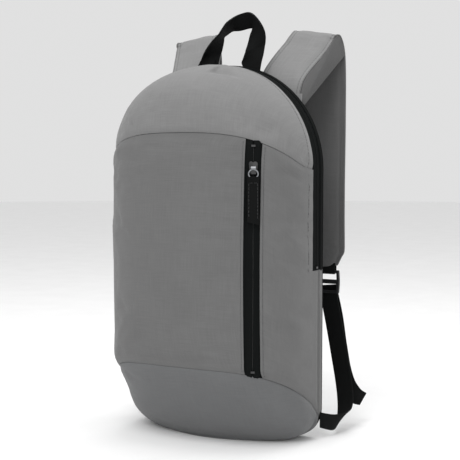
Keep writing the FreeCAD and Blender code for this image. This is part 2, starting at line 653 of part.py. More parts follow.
x0, crest, reach, end = size("strap_x"), size("strap_crest"), size("strap_reach"), size("strap_end")
hang = strap_y + reach
CREST_TILT, LEVEL = Vector(1, 0, -0.18), Vector(1, 0, 0)
strap_route = [
    (Vector(x0, strap_y, size("band_base") + 7), LEVEL, 1),
    (Vector(x0, strap_y, size("band_base") + 18), LEVEL, 1),
    (Vector(x0, strap_y, size("band_base") + 30), LEVEL, 1),
    (Vector(x0 + 0.2, strap_y + 0.3, join - 15), LEVEL, 1),
    (Vector(x0 + 1.2, strap_y + 2.6, join - 6), Vector(1, 0, -0.04), 1),
    (Vector(x0 + 4, strap_y + 9, join + 1.5), Vector(1, 0, -0.1), 1),
    (Vector(x0 + 7, strap_y + 17, crest - 28), Vector(1, 0, -0.16), 1),
    (Vector(x0 + 11, strap_y + 27, crest - 18.5), Vector(1, 0, -0.19), 1),
    (Vector(x0 + 16, strap_y + 39, crest - 7), CREST_TILT, 1),
    (Vector(x0 + 19, strap_y + 48, crest), CREST_TILT, 1),
    (Vector(x0 + 21, strap_y + 57, crest - 3), Vector(1, 0, -0.12), 1),
    (Vector(x0 + 22, hang - 3, crest - 14), Vector(1, 0, -0.06), 1),
    (Vector(x0 + 22.5, hang, crest - 34), LEVEL, 1),
    (Vector(x0 + 22.5, hang + 1, crest - 70), LEVEL, 1),
    (Vector(x0 + 22.5, hang + 1, crest - 115), LEVEL, 1),
    (Vector(x0 + 22.5, hang, crest - 160), LEVEL, 1),
    (Vector(x0 + 23, hang - 1, end + 46), LEVEL, 1),
    (Vector(x0 + 24, hang - 2, end + 20), LEVEL, 1),
    (Vector(x0 + 25, hang - 2, end + 9), LEVEL, (1 + size("strap_tip") / size("strap_width")) / 2),
    (Vector(x0 + 26, hang - 2, end), LEVEL, size("strap_tip") / size("strap_width")),
]
strap_hinge = Vector(x0 + 3.6, strap_y + 8, join)
lock_x, lock_y, lock_z = x0 + 30, hang - 2, end - 3 - size("lock_height")
corner = Vector(arch_r - 2.5, back_face / 2, 20)
lower_route = [
    (corner + Vector(3.2, 0, 0), Vector(0, 0, 1), 0.85),
    (corner + Vector(6.5, 8, -2), Vector(0.05, 0, 1), 0.87),
    (corner + Vector(10, 20, -5), Vector(0.15, 0, 1), 0.9),
    (corner + Vector(12, 33, -5), Vector(0.5, 0, 0.9), 0.95),
    (corner + Vector(11, 46, 1), Vector(0.9, 0, 0.6), 1),
    (corner + Vector(7, 57, 14), Vector(1, 0, 0.4), 1),
    (corner + Vector(1, 64, 36), Vector(1, 0, 0.3), 1),
    (corner + Vector(-6, 68, 64), Vector(1, 0, 0.25), 1),
    (corner + Vector(-14, 70.5, 96), Vector(1, 0, 0.22), 1),
    (Vector(lock_x + 1.5, lock_y, lock_z - 2), Vector(1, 0, 0.2), 1),
]
tail_y = lock_y + 4.2
tail_route = [
    (Vector(lock_x + 1, tail_y, lock_z - 0.5), Vector(1, 0, 0.1), 1),
    (Vector(lock_x + 7, tail_y + 0.8, lock_z - 30), Vector(1, 0, 0.22), 1),
    (Vector(lock_x + 12, tail_y + 1.2, lock_z - 60), Vector(1, 0, 0.25), 1),
    (Vector(lock_x + 16, tail_y + 2, lock_z - 86), Vector(1, 0, 0.3), 1),
    (Vector(lock_x + 22, tail_y + 4, lock_z - 105), Vector(1, 0.5, 0.6), 1),
    (Vector(lock_x + 31, tail_y + 6, lock_z - 116), Vector(0.4, 1, 0.9), 1),
    (Vector(lock_x + 42, tail_y + 7, lock_z - 120), Vector(0, 1, 0.6), 0.9),
]


INSIDE = "dims.lock_width / 2 - dims.lock_rail"


def ladder_lock(label, side):
    """A moulded frame with an upper bar for the loop and two bars for the webbing."""
    body = new_body(label)
    outline = sketch_on(body, "XZ_Plane")
    w, tall, rail = size("lock_width"), size("lock_height"), size("lock_rail")
    loops = [("dims.lock_width / 2", "0", "dims.lock_height", w / 2, 0, tall),
             (INSIDE, "dims.lock_rail", "dims.lock_height / 2 - dims.lock_rail / 2",
              w / 2 - rail, rail, tall / 2 - rail / 2),
             (INSIDE, "dims.lock_height / 2 + dims.lock_rail / 2", "dims.lock_height - dims.lock_rail",
              w / 2 - rail, tall / 2 + rail / 2, tall - rail)]
    for half_expr, low_expr, high_expr, half, low, high in loops:
        first = outline.GeometryCount
        outline.addGeometry([line(-half, low, half, low), line(half, low, half, high),
                             line(half, high, -half, high), line(-half, high, -half, low)])
        constrain(outline, *[("Coincident", first + i, 2, first + (i + 1) % 4, 1) for i in range(4)],
                  ("Horizontal", first + 2), ("Vertical", first + 1),
                  ("Vertical", first + 3), ("Symmetric", first, 1, first, 2, -2))
        dimension(outline, f"2 * ({half_expr})", "DistanceX", first, 1, first, 2, 2 * half)
        if low_expr == "0":
            constrain(outline, ("PointOnObject", first, 1, -1))
        else:
            dimension(outline, low_expr, "DistanceY", -1, 1, first, 1, low)
        dimension(outline, high_expr, "DistanceY", -1, 1, first + 2, 1, high)
    pad(body, outline, "dims.lock_thick", both_ways=True)
    finish(body, label, Placement(Vector(side * lock_x, lock_y, lock_z), Rotation()))


def lock_loop(label, side):
    """The folded webbing that holds the lock's upper bar under the strap's end."""
    body = new_body(label)
    outline = sketch_on(body, "YZ_Plane")
    half, tall, wall = size("loop_half"), size("loop_tall"), size("loop_wall")
    inner, top = half - wall, tall - wall
    outline.addGeometry([line(half, 0, half, tall), line(half, tall, -half, tall),
                         line(-half, tall, -half, 0), line(-half, 0, half, 0),
                         line(inner, wall, inner, top), line(inner, top, -inner, top),
                         line(-inner, top, -inner, wall), line(-inner, wall, inner, wall)])
    constrain(outline, *[("Coincident", i, 2, (i + 1) % 4, 1) for i in range(4)],
              *[("Coincident", 4 + i, 2, 4 + (i + 1) % 4, 1) for i in range(4)])
    pad(body, outline, "dims.cord_width", both_ways=True)
    lift = lock_z + size("lock_height") - size("lock_rail") - wall - size("loop_play")
    finish(body, label, Placement(Vector(side * lock_x, lock_y, lift), Rotation()))


foam, cloth, thin = size("strap_foam") / 2, size("strap_cloth"), size("cord_thick") / 2
room_corner, room_depth = Vector(-2 * arch_r, 0, 0), strap_y + size("strap_lean")
sewn_room = Part.makeBox(4 * arch_r, room_depth, join, room_corner)
lower_room = Part.makeBox(4 * arch_r, room_depth, join - size("strap_parting"), room_corner)
for name, side in (("left", -1), ("right", 1)):
    route = mirrored(strap_route, side)
    whole = ribbon(route, size("strap_width"), -foam - cloth, foam + cloth)
    soft(f"strap_end_{name}", whole.common(lower_room))
    for layer_name, trim, low, high in (("face", 0, foam + 0.05, foam + cloth), ("foam", 3, -foam, foam),
                                        ("lining", 0, -foam - cloth, -foam - 0.05)):
        layer_solid = ribbon(route, size("strap_width") - trim, low, high)
        soft(f"strap_{layer_name}_{name}", layer_solid.cut(sewn_room))
    ladder_lock(f"ladder_lock_{name}", side)
    lock_loop(f"lock_loop_{name}", side)
    soft(f"lower_webbing_{name}", ribbon(mirrored(lower_route, side), size("cord_width"), -thin, thin))
    soft(f"webbing_tail_{name}", ribbon(mirrored(tail_route, side), size("cord_width"), -thin, thin))

# ---------------------------------------------------------------- check and write

doc.recompute()
for thing in doc.Objects:
    if "Invalid" in thing.State or "Error" in thing.State:
        raise RuntimeError(f"{thing.Label} failed: {thing.State}")
os.makedirs("parts", exist_ok=True)
for piece in parts:
    shape = piece.Shape
    if shape.isNull() or not shape.isValid() or shape.Volume <= 0:
        raise RuntimeError(f"{piece.Label} is not a good solid")
    shape.exportStep(os.path.join("parts", piece.Label + ".step"))


def say(label, point):
    print(label, [round(value / 1000, 5) for value in (point + seat)])


print(len(parts), "sub-parts written")
say("pocket_slider", pocket_slider_place.Base)
say("pocket_puller", pocket_slider_place.multVec(Vector(0, 0, size("bar_height"))))
say("main_puller_upper", upper_place.multVec(Vector(0, 0, size("bar_height"))))
say("main_puller_lower", lower_place.multVec(Vector(0, 0, size("bar_height"))))
say("arch_centre", Vector(0, -band / 2, arch_z))
say("handle_foot", handle_foot)
say("strap_join", strap_hinge)
say("corner", corner)
say("tail_top", Vector(lock_x, tail_y, lock_z))
print("across_zip", list(across_zip), "up_zip", list(up_zip), "zip_length", round(zip_length, 2))
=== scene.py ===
# %% [markdown]
# # A small daypack
# The pack is a sewn shell with an arched main zip, a front pocket with a straight zip, a padded back,
# a twisted haul handle and two padded shoulder straps with ladder locks and webbing. The hard frame of
# the model is loaded first and stays where it is. Every soft piece is then sewn around it: bmesh grids
# are bent onto the shape of the bag, cloth simulation fills them out, and stitches are laid on top.

import json
import math

import bmesh
import bpy
import numpy as np
from mathutils import Matrix, Vector, noise
from mathutils.bvhtree import BVHTree

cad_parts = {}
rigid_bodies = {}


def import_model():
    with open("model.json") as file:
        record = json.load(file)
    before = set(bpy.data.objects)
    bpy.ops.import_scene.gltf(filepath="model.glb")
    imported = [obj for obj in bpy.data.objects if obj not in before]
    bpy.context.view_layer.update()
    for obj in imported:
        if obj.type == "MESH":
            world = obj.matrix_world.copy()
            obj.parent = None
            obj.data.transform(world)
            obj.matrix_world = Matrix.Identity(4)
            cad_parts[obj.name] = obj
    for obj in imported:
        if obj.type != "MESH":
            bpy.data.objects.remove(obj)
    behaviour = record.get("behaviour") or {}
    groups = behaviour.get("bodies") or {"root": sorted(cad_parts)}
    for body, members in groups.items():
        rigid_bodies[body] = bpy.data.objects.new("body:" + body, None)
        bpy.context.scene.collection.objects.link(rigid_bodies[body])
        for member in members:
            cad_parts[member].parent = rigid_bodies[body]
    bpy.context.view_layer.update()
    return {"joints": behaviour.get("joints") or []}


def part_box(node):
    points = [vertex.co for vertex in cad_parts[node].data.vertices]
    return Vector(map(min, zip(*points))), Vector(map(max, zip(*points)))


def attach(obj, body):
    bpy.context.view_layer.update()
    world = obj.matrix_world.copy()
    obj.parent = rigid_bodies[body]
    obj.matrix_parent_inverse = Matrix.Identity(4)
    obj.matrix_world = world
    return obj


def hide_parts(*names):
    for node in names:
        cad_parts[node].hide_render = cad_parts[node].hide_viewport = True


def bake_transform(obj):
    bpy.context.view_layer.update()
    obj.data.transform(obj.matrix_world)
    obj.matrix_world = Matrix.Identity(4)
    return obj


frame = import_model()
scene = bpy.context.scene
MM = 0.001

# %% [markdown]
# ## Camera, light and floor
# The bag is seen from its right front, a little from above, with a long lens. A big soft lamp above and
# to the left lights the top of the bag, a weaker one in front fills the shade, and a bright pale
# backdrop and floor throw light back from all sides, as in a small studio tent.

# %% Camera
TARGET = Vector((0, 0.024, 0.2))
AZIMUTH, ELEVATION, DISTANCE = math.radians(29.4), math.radians(4.8), 1.295
towards_camera = Vector((math.sin(AZIMUTH) * math.cos(ELEVATION), -math.cos(AZIMUTH) * math.cos(ELEVATION),
                         math.sin(ELEVATION)))
camera = bpy.data.objects.new("camera", bpy.data.cameras.new("camera"))
camera.location = TARGET + towards_camera * DISTANCE
camera.rotation_euler = towards_camera.to_track_quat("Z", "Y").to_euler()
camera.data.lens = 91.8
camera.data.shift_x, camera.data.shift_y = 0.0044, 0.0423
scene.collection.objects.link(camera)
scene.camera = camera
scene.view_settings.view_transform = "Standard"
print("camera at", [round(c, 3) for c in camera.location])


# %% Colours and nodes
def linear(code):
    """An sRGB hex colour as linear red, green, blue and alpha."""
    values = [int(code[i:i + 2], 16) / 255 for i in (1, 3, 5)]
    return [v / 12.92 if v <= 0.04045 else ((v + 0.055) / 1.055) ** 2.4 for v in values] + [1.0]


def add(tree, kind, inputs, **settings):
    """Add a node with its settings; an input takes a number, a colour or another node's output."""
    node = tree.nodes.new("ShaderNode" + kind)
    for name, value in settings.items():
        setattr(node, name, value)
    for name, value in inputs.items():
        if isinstance(value, bpy.types.NodeSocket):
            tree.links.new(value, node.inputs[name])
        else:
            node.inputs[name].default_value = value
    return node


def new_material(name, roughness, **sockets):
    """An empty material with one shader, whose plain numbers are set on its own sockets."""
    material = bpy.data.materials.new(name)
    material.use_nodes = True
    tree = material.node_tree
    shader = tree.nodes["Principled BSDF"]
    shader.inputs["Roughness"].default_value = roughness
    for socket, value in sockets.items():
        shader.inputs[socket.replace("_", " ").title().replace("Ior", "IOR")].default_value = value
    return material, tree, shader


# %% Lamps, backdrop and floor
def lamp(name, place, size, power):
    light = bpy.data.lights.new(name, "AREA")
    light.size, light.energy = size, power
    holder = bpy.data.objects.new(name, light)
    holder.location = place
    holder.rotation_euler = (Vector(place) - TARGET).to_track_quat("Z", "Y").to_euler()
    scene.collection.objects.link(holder)
    return holder


lamp("key_lamp", (0.15, -1.1, 1.7), 1.0, 17)
lamp("top_lamp", (0.1, 0.3, 1.7), 1.0, 9)
lamp("fill_lamp", (1.3, -1.3, 0.5), 1.2, 4)
world = bpy.data.worlds.new("studio")
scene.world = world
world.use_nodes = True
world.node_tree.nodes["Background"].inputs["Color"].default_value = linear("#ffffff")
world.node_tree.nodes["Background"].inputs["Strength"].default_value = 0.75

floor_mesh = bmesh.new()
bmesh.ops.create_circle(floor_mesh, cap_ends=True, segments=64, radius=6)
floor_data = bpy.data.meshes.new("floor")
floor_mesh.to_mesh(floor_data)
floor_mesh.free()
floor = bpy.data.objects.new("floor", floor_data)
scene.collection.objects.link(floor)
paper, tree, shader = new_material("matt_paper_floor", 0.9)
grain = add(tree, "TexNoise", {"Scale": 180.0, "Detail": 3.0})
tint = add(tree, "ValToRGB", {"Fac": grain.outputs["Fac"]})
tint.color_ramp.elements[0].color = linear("#f2f2f2")
tint.color_ramp.elements[1].color = linear("#fbfbfb")
tree.links.new(tint.outputs["Color"], shader.inputs["Base Color"])
floor_data.materials.append(paper)
print("three lamps and a floor")

# %% [markdown]
# ## Cloth, webbing, metal and plastic
# The bag is sewn from coated polyester in a plain weave. Its threads lie half a millimetre apart, which
# gives the eye an even, matt, slightly heathered grey. Each thread pattern reads the piece's own UV map,
# whose unit is a metre along the cloth, so the weave has its real size and turns with the cloth.


# %% Fabric
def wave_at(tree, along, spacing, shift=0.0):
    """Parallel threads with the given spacing, in metres."""
    return add(tree, "TexWave", {"Vector": along, "Scale": math.pi / (10 * spacing), "Phase Offset": shift},
               wave_type="BANDS", bands_direction="X")


def mixed(tree, kind, one, two, factor=1.0):
    mix = add(tree, "Mix", {"Factor": factor}, data_type="RGBA", blend_type=kind)
    for index, value in ((6, one), (7, two)):
        if isinstance(value, bpy.types.NodeSocket):
            tree.links.new(value, mix.inputs[index])
        else:
            mix.inputs[index].default_value = value
    return mix.outputs[2]


def cloth_material(name, colour, thread, depth, roughness, heather=0.05, twill=0.0, sheen=0.15,
                   gloss=0.3):
    """Woven cloth: warp and weft threads, uneven yarn and soft blotches."""
    material, tree, shader = new_material(name, roughness, sheen_weight=sheen, sheen_roughness=0.5,
                                          specular_ior_level=gloss)
    uv = add(tree, "UVMap", {}, uv_map="UVMap").outputs["UV"]
    turned = add(tree, "Mapping", {"Vector": uv, "Rotation": (0, 0, math.pi / 2 - twill)}).outputs["Vector"]
    warp, weft = wave_at(tree, uv, thread), wave_at(tree, turned, thread)
    weave = mixed(tree, "MULTIPLY", warp.outputs["Color"], weft.outputs["Color"])
    streaks = []
    for stretch in ((900, 40, 1), (40, 900, 1)):
        stretched = add(tree, "Mapping", {"Vector": uv, "Scale": stretch}).outputs["Vector"]
        streaks.append(add(tree, "TexNoise",
                           {"Vector": stretched, "Scale": 1.0, "Detail": 4.0}).outputs["Fac"])
    yarn = mixed(tree, "MIX", streaks[0], streaks[1], 0.5)
    blotch = add(tree, "TexNoise", {"Vector": uv, "Scale": 22.0, "Detail": 3.0}).outputs["Fac"]
    base = linear(colour)
    dark = [c * (1 - 2.2 * heather) for c in base[:3]] + [1]
    light = [min(c * (1 + 2.2 * heather), 1) for c in base[:3]] + [1]
    uneven = add(tree, "ValToRGB", {"Fac": yarn})
    for element, place, tone in zip(uneven.color_ramp.elements, (0.3, 0.7), (dark, light)):
        element.position, element.color = place, tone
    clouded = add(tree, "ValToRGB", {"Fac": blotch})
    for element, place, grey in zip(clouded.color_ramp.elements, (0.35, 0.65), (0.95, 1.0)):
        element.position, element.color = place, (grey, grey, grey, 1)
    shaded = mixed(tree, "MULTIPLY", uneven.outputs["Color"], clouded.outputs["Color"])
    threads = mixed(tree, "MULTIPLY", shaded, weave, 0.12)
    tree.links.new(threads, shader.inputs["Base Color"])
    rough = add(tree, "MapRange", {"Value": yarn, "To Min": roughness - 0.08, "To Max": roughness + 0.08})
    tree.links.new(rough.outputs["Result"], shader.inputs["Roughness"])
    relief = mixed(tree, "ADD", weave, yarn, 0.4)
    bump = add(tree, "Bump", {"Height": relief, "Distance": depth, "Strength": 0.6})
    tree.links.new(bump.outputs["Normal"], shader.inputs["Normal"])
    return material


FINE, COARSE = 0.7 * MM, 1.1 * MM      # real threads are 0.5 mm apart: a little coarser shows at all
body_cloth = cloth_material("plain_woven_polyester_grey", "#676767", FINE, 0.10 * MM, 0.82)
base_cloth = cloth_material("plain_woven_polyester_base", "#676869", FINE, 0.10 * MM, 0.82)
# The yoke is the same grey cloth in a lighter copy: painted light, where the lamp above lights the top of the
# bag.
yoke_cloth = cloth_material("plain_woven_polyester_yoke_painted_light", "#7a7a7a", FINE, 0.10 * MM, 0.80)
# The strap's face is a lighter copy of the grey cloth, painted light; its lining below is a darker copy,
# painted shade, where the strap's underside is in shadow.
strap_cloth = cloth_material("plain_woven_polyester_strap_painted_light", "#808080", FINE, 0.10 * MM, 0.80)
strap_lining_painted_shade = cloth_material("plain_woven_polyester_strap_back_painted_shade", "#5c5c5c", FINE, 0.10 * MM, 0.85)
back_mesh = cloth_material("knitted_spacer_mesh", "#55575a", 2.4 * MM, 0.6 * MM, 0.9, 0.08)
lining = cloth_material("coated_lining_taffeta", "#45474a", FINE, 0.05 * MM, 0.55, 0.03)
webbing = cloth_material("ribbed_polyester_webbing", "#0f1010", COARSE, 0.25 * MM, 0.75, 0.12, 0.5, 0.0, 0.08)
zip_tape = cloth_material("twilled_zip_tape", "#101212", COARSE, 0.15 * MM, 0.8, 0.10, 0.6, 0.0, 0.06)
sewing_thread = cloth_material("spun_polyester_thread", "#525252", 0.25 * MM, 0.05 * MM, 0.6, 0.1)
dark_thread = cloth_material("spun_polyester_thread_black", "#222324", 0.25 * MM, 0.05 * MM, 0.6, 0.1)
print("cloth materials made")


# %% Hard materials
def hard_material(name, colour, roughness, grain_size, grain_depth, variation, **sockets):
    """A moulded or cast surface: fine grain, faint flow marks and small scuffs."""
    material, tree, shader = new_material(name, roughness, **sockets)
    place = add(tree, "TexCoord", {}).outputs["Object"]
    grain = add(tree, "TexNoise", {"Vector": place, "Scale": 1 / grain_size, "Detail": 4.0}).outputs["Fac"]
    scuffs = add(tree, "TexVoronoi", {"Vector": place, "Scale": 260.0}, feature="DISTANCE_TO_EDGE")
    base = linear(colour)
    tone = add(tree, "ValToRGB", {"Fac": grain})
    for element, place_on, factor in zip(tone.color_ramp.elements, (0.3, 0.7),
                                         (1 - variation, 1 + variation)):
        element.position, element.color = place_on, [min(c * factor, 1) for c in base[:3]] + [1]
    tree.links.new(tone.outputs["Color"], shader.inputs["Base Color"])
    rough = add(tree, "MapRange", {"Value": scuffs.outputs["Distance"], "From Max": 0.08,
                                   "To Min": roughness + 0.12, "To Max": roughness})
    tree.links.new(rough.outputs["Result"], shader.inputs["Roughness"])
    bump = add(tree, "Bump", {"Height": grain, "Distance": grain_depth, "Strength": 0.5})
    tree.links.new(bump.outputs["Normal"], shader.inputs["Normal"])
    return material


zip_metal = hard_material("gunmetal_plated_zinc", "#8b8d90", 0.28, 0.9 * MM, 0.02 * MM, 0.06, metallic=1.0)
black_enamel = hard_material("black_enamelled_zinc", "#141516", 0.30, 0.9 * MM, 0.02 * MM,
                             0.10, coat_weight=0.4)
buckle_plastic = hard_material("moulded_acetal_black", "#111213", 0.42, 0.4 * MM, 0.03 * MM, 0.15)
nylon_coil = hard_material("nylon_monofilament", "#141516", 0.35, 0.5 * MM, 0.02 * MM, 0.1)
foam = hard_material("closed_cell_foam", "#3b3d3f", 0.95, 0.8 * MM, 0.15 * MM, 0.12)
print("hard materials made")

# %% [markdown]
# ## The shape of the bag
# The bag is a lofted shell: every level is a rounded, slightly squared outline that is flat towards the
# back, and above the arch's centre the outlines shrink along a half circle. `skin` gives a point of that
# surface from a turn, -1 at the left, 0 in front, 1 at the right and up to 2 along the flat side, and a
# height. Its main sizes are read from the frame, and the rest are given.

# %% Sizes from the frame
gap = 0.4 * MM
arch_radius, bag_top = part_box("back_panel")[1].x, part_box("back_panel")[1].z
arch_z = bag_top - arch_radius
back_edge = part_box("side_panel")[1].y
zip_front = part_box("main_zip_tape_front")[0].y - gap
band = back_edge - zip_front
zip_middle = (back_edge + zip_front) / 2
zip_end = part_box("main_zip_tape_back")[0].z - gap
bottom_seam_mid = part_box("bottom_panel")[1].z + gap / 2
bottom_seam_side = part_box("side_panel")[0].z - gap / 2
yoke_seam_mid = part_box("front_panel")[1].z + gap / 2
depth_low = back_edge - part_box("bottom_panel")[0].y
depth_high = back_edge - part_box("top_yoke")[0].y
front_bulge = 4 * MM
base_depth = 48 * MM
corner_radius = 34 * MM
FABRIC = 1.2 * MM
SIDE_SQUARE, FRONT_SQUARE, BASE_SIDE_SQUARE, BASE_FRONT_SQUARE = 2.85, 3.3, 1.7, 1.6
TOP_ROUNDING, BOTTOM_SLOPE, BOTTOM_SEAM_DROP, SIDE_SHARE = 2.8, 1.09, 2.6, 0.12
print("bag", round(2 * arch_radius, 3), "wide,", round(bag_top, 3), "high,", round(depth_low, 3), "deep")


# %% The skin
def half_width(z):
    if z > arch_z:
        return math.sqrt(max(arch_radius ** 2 - (z - arch_z) ** 2, 0))
    drop = max(corner_radius - z, 0)
    return arch_radius - (corner_radius - math.sqrt(max(corner_radius ** 2 - drop ** 2, 0)))


def front_depth(z):
    if z > yoke_seam_mid:
        rise = min((z - yoke_seam_mid) / (bag_top - yoke_seam_mid), 1)
        return band + (depth_high - band) * math.sqrt(1 - rise ** TOP_ROUNDING)
    if z < bottom_seam_mid:
        return depth_low - (depth_low - base_depth) * (1 - max(z, 0) / bottom_seam_mid) ** BOTTOM_SLOPE
    up = (z - bottom_seam_mid) / (yoke_seam_mid - bottom_seam_mid)
    return depth_low + (depth_high - depth_low) * up + front_bulge * 4 * up * (1 - up)


def squareness(z):
    down = max(1 - z / bottom_seam_mid, 0)
    return (SIDE_SQUARE + (BASE_SIDE_SQUARE - SIDE_SQUARE) * down,
            FRONT_SQUARE + (BASE_FRONT_SQUARE - FRONT_SQUARE) * down)


def skin(turn, z):
    side, front = squareness(z)
    wide, deep = half_width(z), front_depth(z)
    if abs(turn) >= 1:
        return Vector((math.copysign(wide, turn), back_edge - band * (2 - abs(turn)), z))
    angle = math.pi / 2 * abs(turn)
    return Vector((math.copysign(wide * math.sin(angle) ** (2 / side), turn),
                   back_edge - band - (deep - band) * math.cos(angle) ** (2 / front), z))


def turn_at(x, z):
    share = min(abs(x) / max(half_width(z), 1e-6), 1)
    return math.copysign(math.asin(share ** (squareness(z)[0] / 2)) * 2 / math.pi, x)


def bottom_seam(turn):
    way = (min(abs(turn), 1) + max(abs(turn) - 1, 0) * SIDE_SHARE) / (1 + SIDE_SHARE)
    return bottom_seam_mid + (bottom_seam_side - bottom_seam_mid) * way ** BOTTOM_SEAM_DROP


def yoke_seam(turn):
    return yoke_seam_mid + (arch_z - yoke_seam_mid) * min(abs(turn), 1) ** 2


def outwards(turn, z):
    """The direction that the skin faces."""
    low, high = max(z - 2 * MM, 0.1 * MM), min(max(z - 2 * MM, 0.1 * MM) + 4 * MM, bag_top - 0.05 * MM)
    across = skin(turn + 0.01, z) - skin(turn - 0.01, z)
    up = skin(turn, high) - skin(turn, low)
    return across.cross(up).normalized()


print("front at yoke seam:", [round(c, 3) for c in skin(0, yoke_seam_mid)])

# %% [markdown]
# ## From a flat grid to a piece
# Every cloth piece starts as a bmesh grid, as flat as the cloth on the cutting table, and each of its
# points is then moved to its place. The UV map is measured along the bent grid, so it stays in metres.


# %% Grids
def grid(columns, rows, place, closed=False, flat_u=False):
    """A grid whose points are moved by place(u, v), both from 0 to 1; returns a bmesh with a UV map."""
    made = bmesh.new()
    bmesh.ops.create_grid(made, x_segments=columns, y_segments=rows, size=0.5)
    made.verts.ensure_lookup_table()
    order = sorted(made.verts, key=lambda v: (round(v.co.y, 6), round(v.co.x, 6)))
    for vert in order:
        vert.co = place(vert.co.x + 0.5, vert.co.y + 0.5)
    lattice = np.array([v.co for v in order]).reshape(rows + 1, columns + 1, 3)
    u = np.cumsum(np.linalg.norm(np.diff(lattice, axis=1, prepend=lattice[:, :1]), axis=2), axis=1)
    v = np.cumsum(np.linalg.norm(np.diff(lattice, axis=0, prepend=lattice[:1]), axis=2), axis=0)
    u -= u[:, columns // 2][:, None]
    if flat_u:
        u = lattice[:, :, 0]
    places = {vert: (float(a), float(b)) for vert, a, b in zip(order, u.ravel(), v.ravel())}
    layer = made.loops.layers.uv.new("UVMap")
    for face in made.faces:
        for loop in face.loops:
            loop[layer].uv = places[loop.vert]
        face.smooth = True
    if closed:
        bmesh.ops.remove_doubles(made, verts=made.verts, dist=0.02 * MM)
    bmesh.ops.recalc_face_normals(made, faces=made.faces)
    return made


def as_object(name, made, materials, body, *nodes, slot=None):
    """Turn a bmesh into a named piece that rides on a body and stands for some nodes."""
    data = bpy.data.meshes.new(name)
    made.to_mesh(data)
    made.free()
    for material in materials:
        data.materials.append(material)
    piece = bpy.data.objects.new(name, data)
    scene.collection.objects.link(piece)
    if body:
        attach(piece, body)
    if nodes:
        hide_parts(*nodes)
    return piece


def thicken(piece, thickness, rounding, offset=-1.0):
    """Give a single layer its cloth thickness and rounded cut edges."""
    solid = piece.modifiers.new("thickness", "SOLIDIFY")
    solid.thickness, solid.offset, solid.use_even_offset = thickness, offset, True
    edge = piece.modifiers.new("rounding", "BEVEL")
    edge.width, edge.segments, edge.limit_method, edge.angle_limit = rounding, 2, "ANGLE", math.radians(60)
    return piece


def face_away(made, centre):
    """Turn an open sheet so that it faces away from a point."""
    facing = sum((f.calc_center_median() - centre).dot(f.normal) * f.calc_area() for f in made.faces)
    if facing < 0:
        bmesh.ops.reverse_faces(made, faces=made.faces)
    return made


BAG_CENTRE = Vector((0, -0.02, 0.2))

# %% [markdown]
# ## Filling the bag with air
# A sewn bag isn't as smooth as its pattern: the cloth swells between its seams and puckers beside them.
# So a closed copy of the bag is voxel remeshed, held at its seams and blown up by cloth simulation.
# The finished panels are then laid onto that swollen body, which keeps their clean grids and UV maps.


# %% Cloth simulation
def inflate(piece, held, pressure, cap, growth=0.0, frames=20):
    """Blow up a closed piece: held(point) is 1 where stitching holds it; no point moves past the cap."""
    rest = np.array([v.co for v in piece.data.vertices])
    group = piece.vertex_groups.new(name="held")
    for vert in piece.data.vertices:
        group.add([vert.index], held(vert.co), "REPLACE")
    cloth = piece.modifiers.new("swell", "CLOTH")
    settings = cloth.settings
    settings.vertex_group_mass = "held"
    settings.use_pressure = True
    settings.uniform_pressure_force = pressure
    settings.shrink_min = -growth
    settings.effector_weights.gravity = 0
    for number in range(1, frames + 1):
        scene.frame_set(number)
    swollen = piece.evaluated_get(bpy.context.evaluated_depsgraph_get())
    now = np.array([v.co for v in swollen.data.vertices])
    move = now - rest
    length = np.maximum(np.linalg.norm(move, axis=1), 1e-9)[:, None]
    piece.modifiers.remove(cloth)
    capped = rest + move / length * (cap * np.tanh(length / cap))
    piece.data.vertices.foreach_set("co", capped.astype(np.float32).ravel())
    piece.vertex_groups.remove(group)
    scene.frame_set(1)
    print(piece.name, "swelled by up to", round(float(length.max()) / MM, 1), "mm")
    return piece


# %% The body that is blown up
pocket_joint = next(j for j in frame["joints"] if j["name"] == "pocket_puller_swing")
pocket_across = -Vector(pocket_joint["axis"])
pocket_up = -Vector(next(j for j in frame["joints"] if j["name"] == "pocket_zip")["axis"])
pocket_out = pocket_across.cross(pocket_up)
BAR_HEIGHT = 3.9 * MM                      # from a zip's face to the crossbar of its slider
pocket_slider_place = Vector(pocket_joint["pos_m"]) - pocket_out * BAR_HEIGHT
pocket_zip_x = pocket_slider_place.x


def seam_reach(point):
    """How far a point of the bag is from the nearest seam."""
    z = min(max(point.z, 0), bag_top)
    turn = turn_at(point.x, z)
    if point.y > zip_front:
        turn = math.copysign(1 + (point.y - zip_front) / band, point.x)
    reaches = [abs(z - bottom_seam(turn)), abs(z - yoke_seam(turn)) if abs(turn) <= 1 else 1.0]
    if bottom_seam(turn) < z < yoke_seam(turn) and point.y < zip_front:
        reaches.append(max(abs(point.x - pocket_zip_x) - band / 2 * pocket_across.x, 0))
    if z > zip_end:
        reaches.append(max(zip_front - point.y, 0))
    return min(reaches)


def body_place(u, v):
    turn = -2 + 4 * u
    if v < 0.02:
        return Vector((skin(turn, 0).x, back_edge, 0))
    z = (v - 0.02) / 0.98 * (arch_z + math.pi / 2 * arch_radius)
    if z > arch_z:
        z = arch_z + arch_radius * math.sin(min((z - arch_z) / arch_radius, math.pi / 2 - 0.02))
    return skin(turn, z)


air = grid(96, 100, body_place)
bmesh.ops.remove_doubles(air, verts=air.verts, dist=0.05 * MM)
bmesh.ops.holes_fill(air, edges=air.edges, sides=0)
bmesh.ops.triangulate(air, faces=[f for f in air.faces if len(f.verts) > 4])
bmesh.ops.recalc_face_normals(air, faces=air.faces)
air_body = as_object("air_body", air, [], None)
remesh = air_body.modifiers.new("remesh", "REMESH")
remesh.mode, remesh.voxel_size = "VOXEL", 5 * MM
settled = bpy.data.meshes.new_from_object(air_body.evaluated_get(bpy.context.evaluated_depsgraph_get()))
air_body.modifiers.remove(remesh)
air_body.data = settled
print("air body:", len(settled.vertices), "points")


def held_by_seams(point):
    if point.y > zip_front - 1 * MM or point.z < 4 * MM:
        return 1.0
    return max(0.0, 1 - seam_reach(point) / (7 * MM))


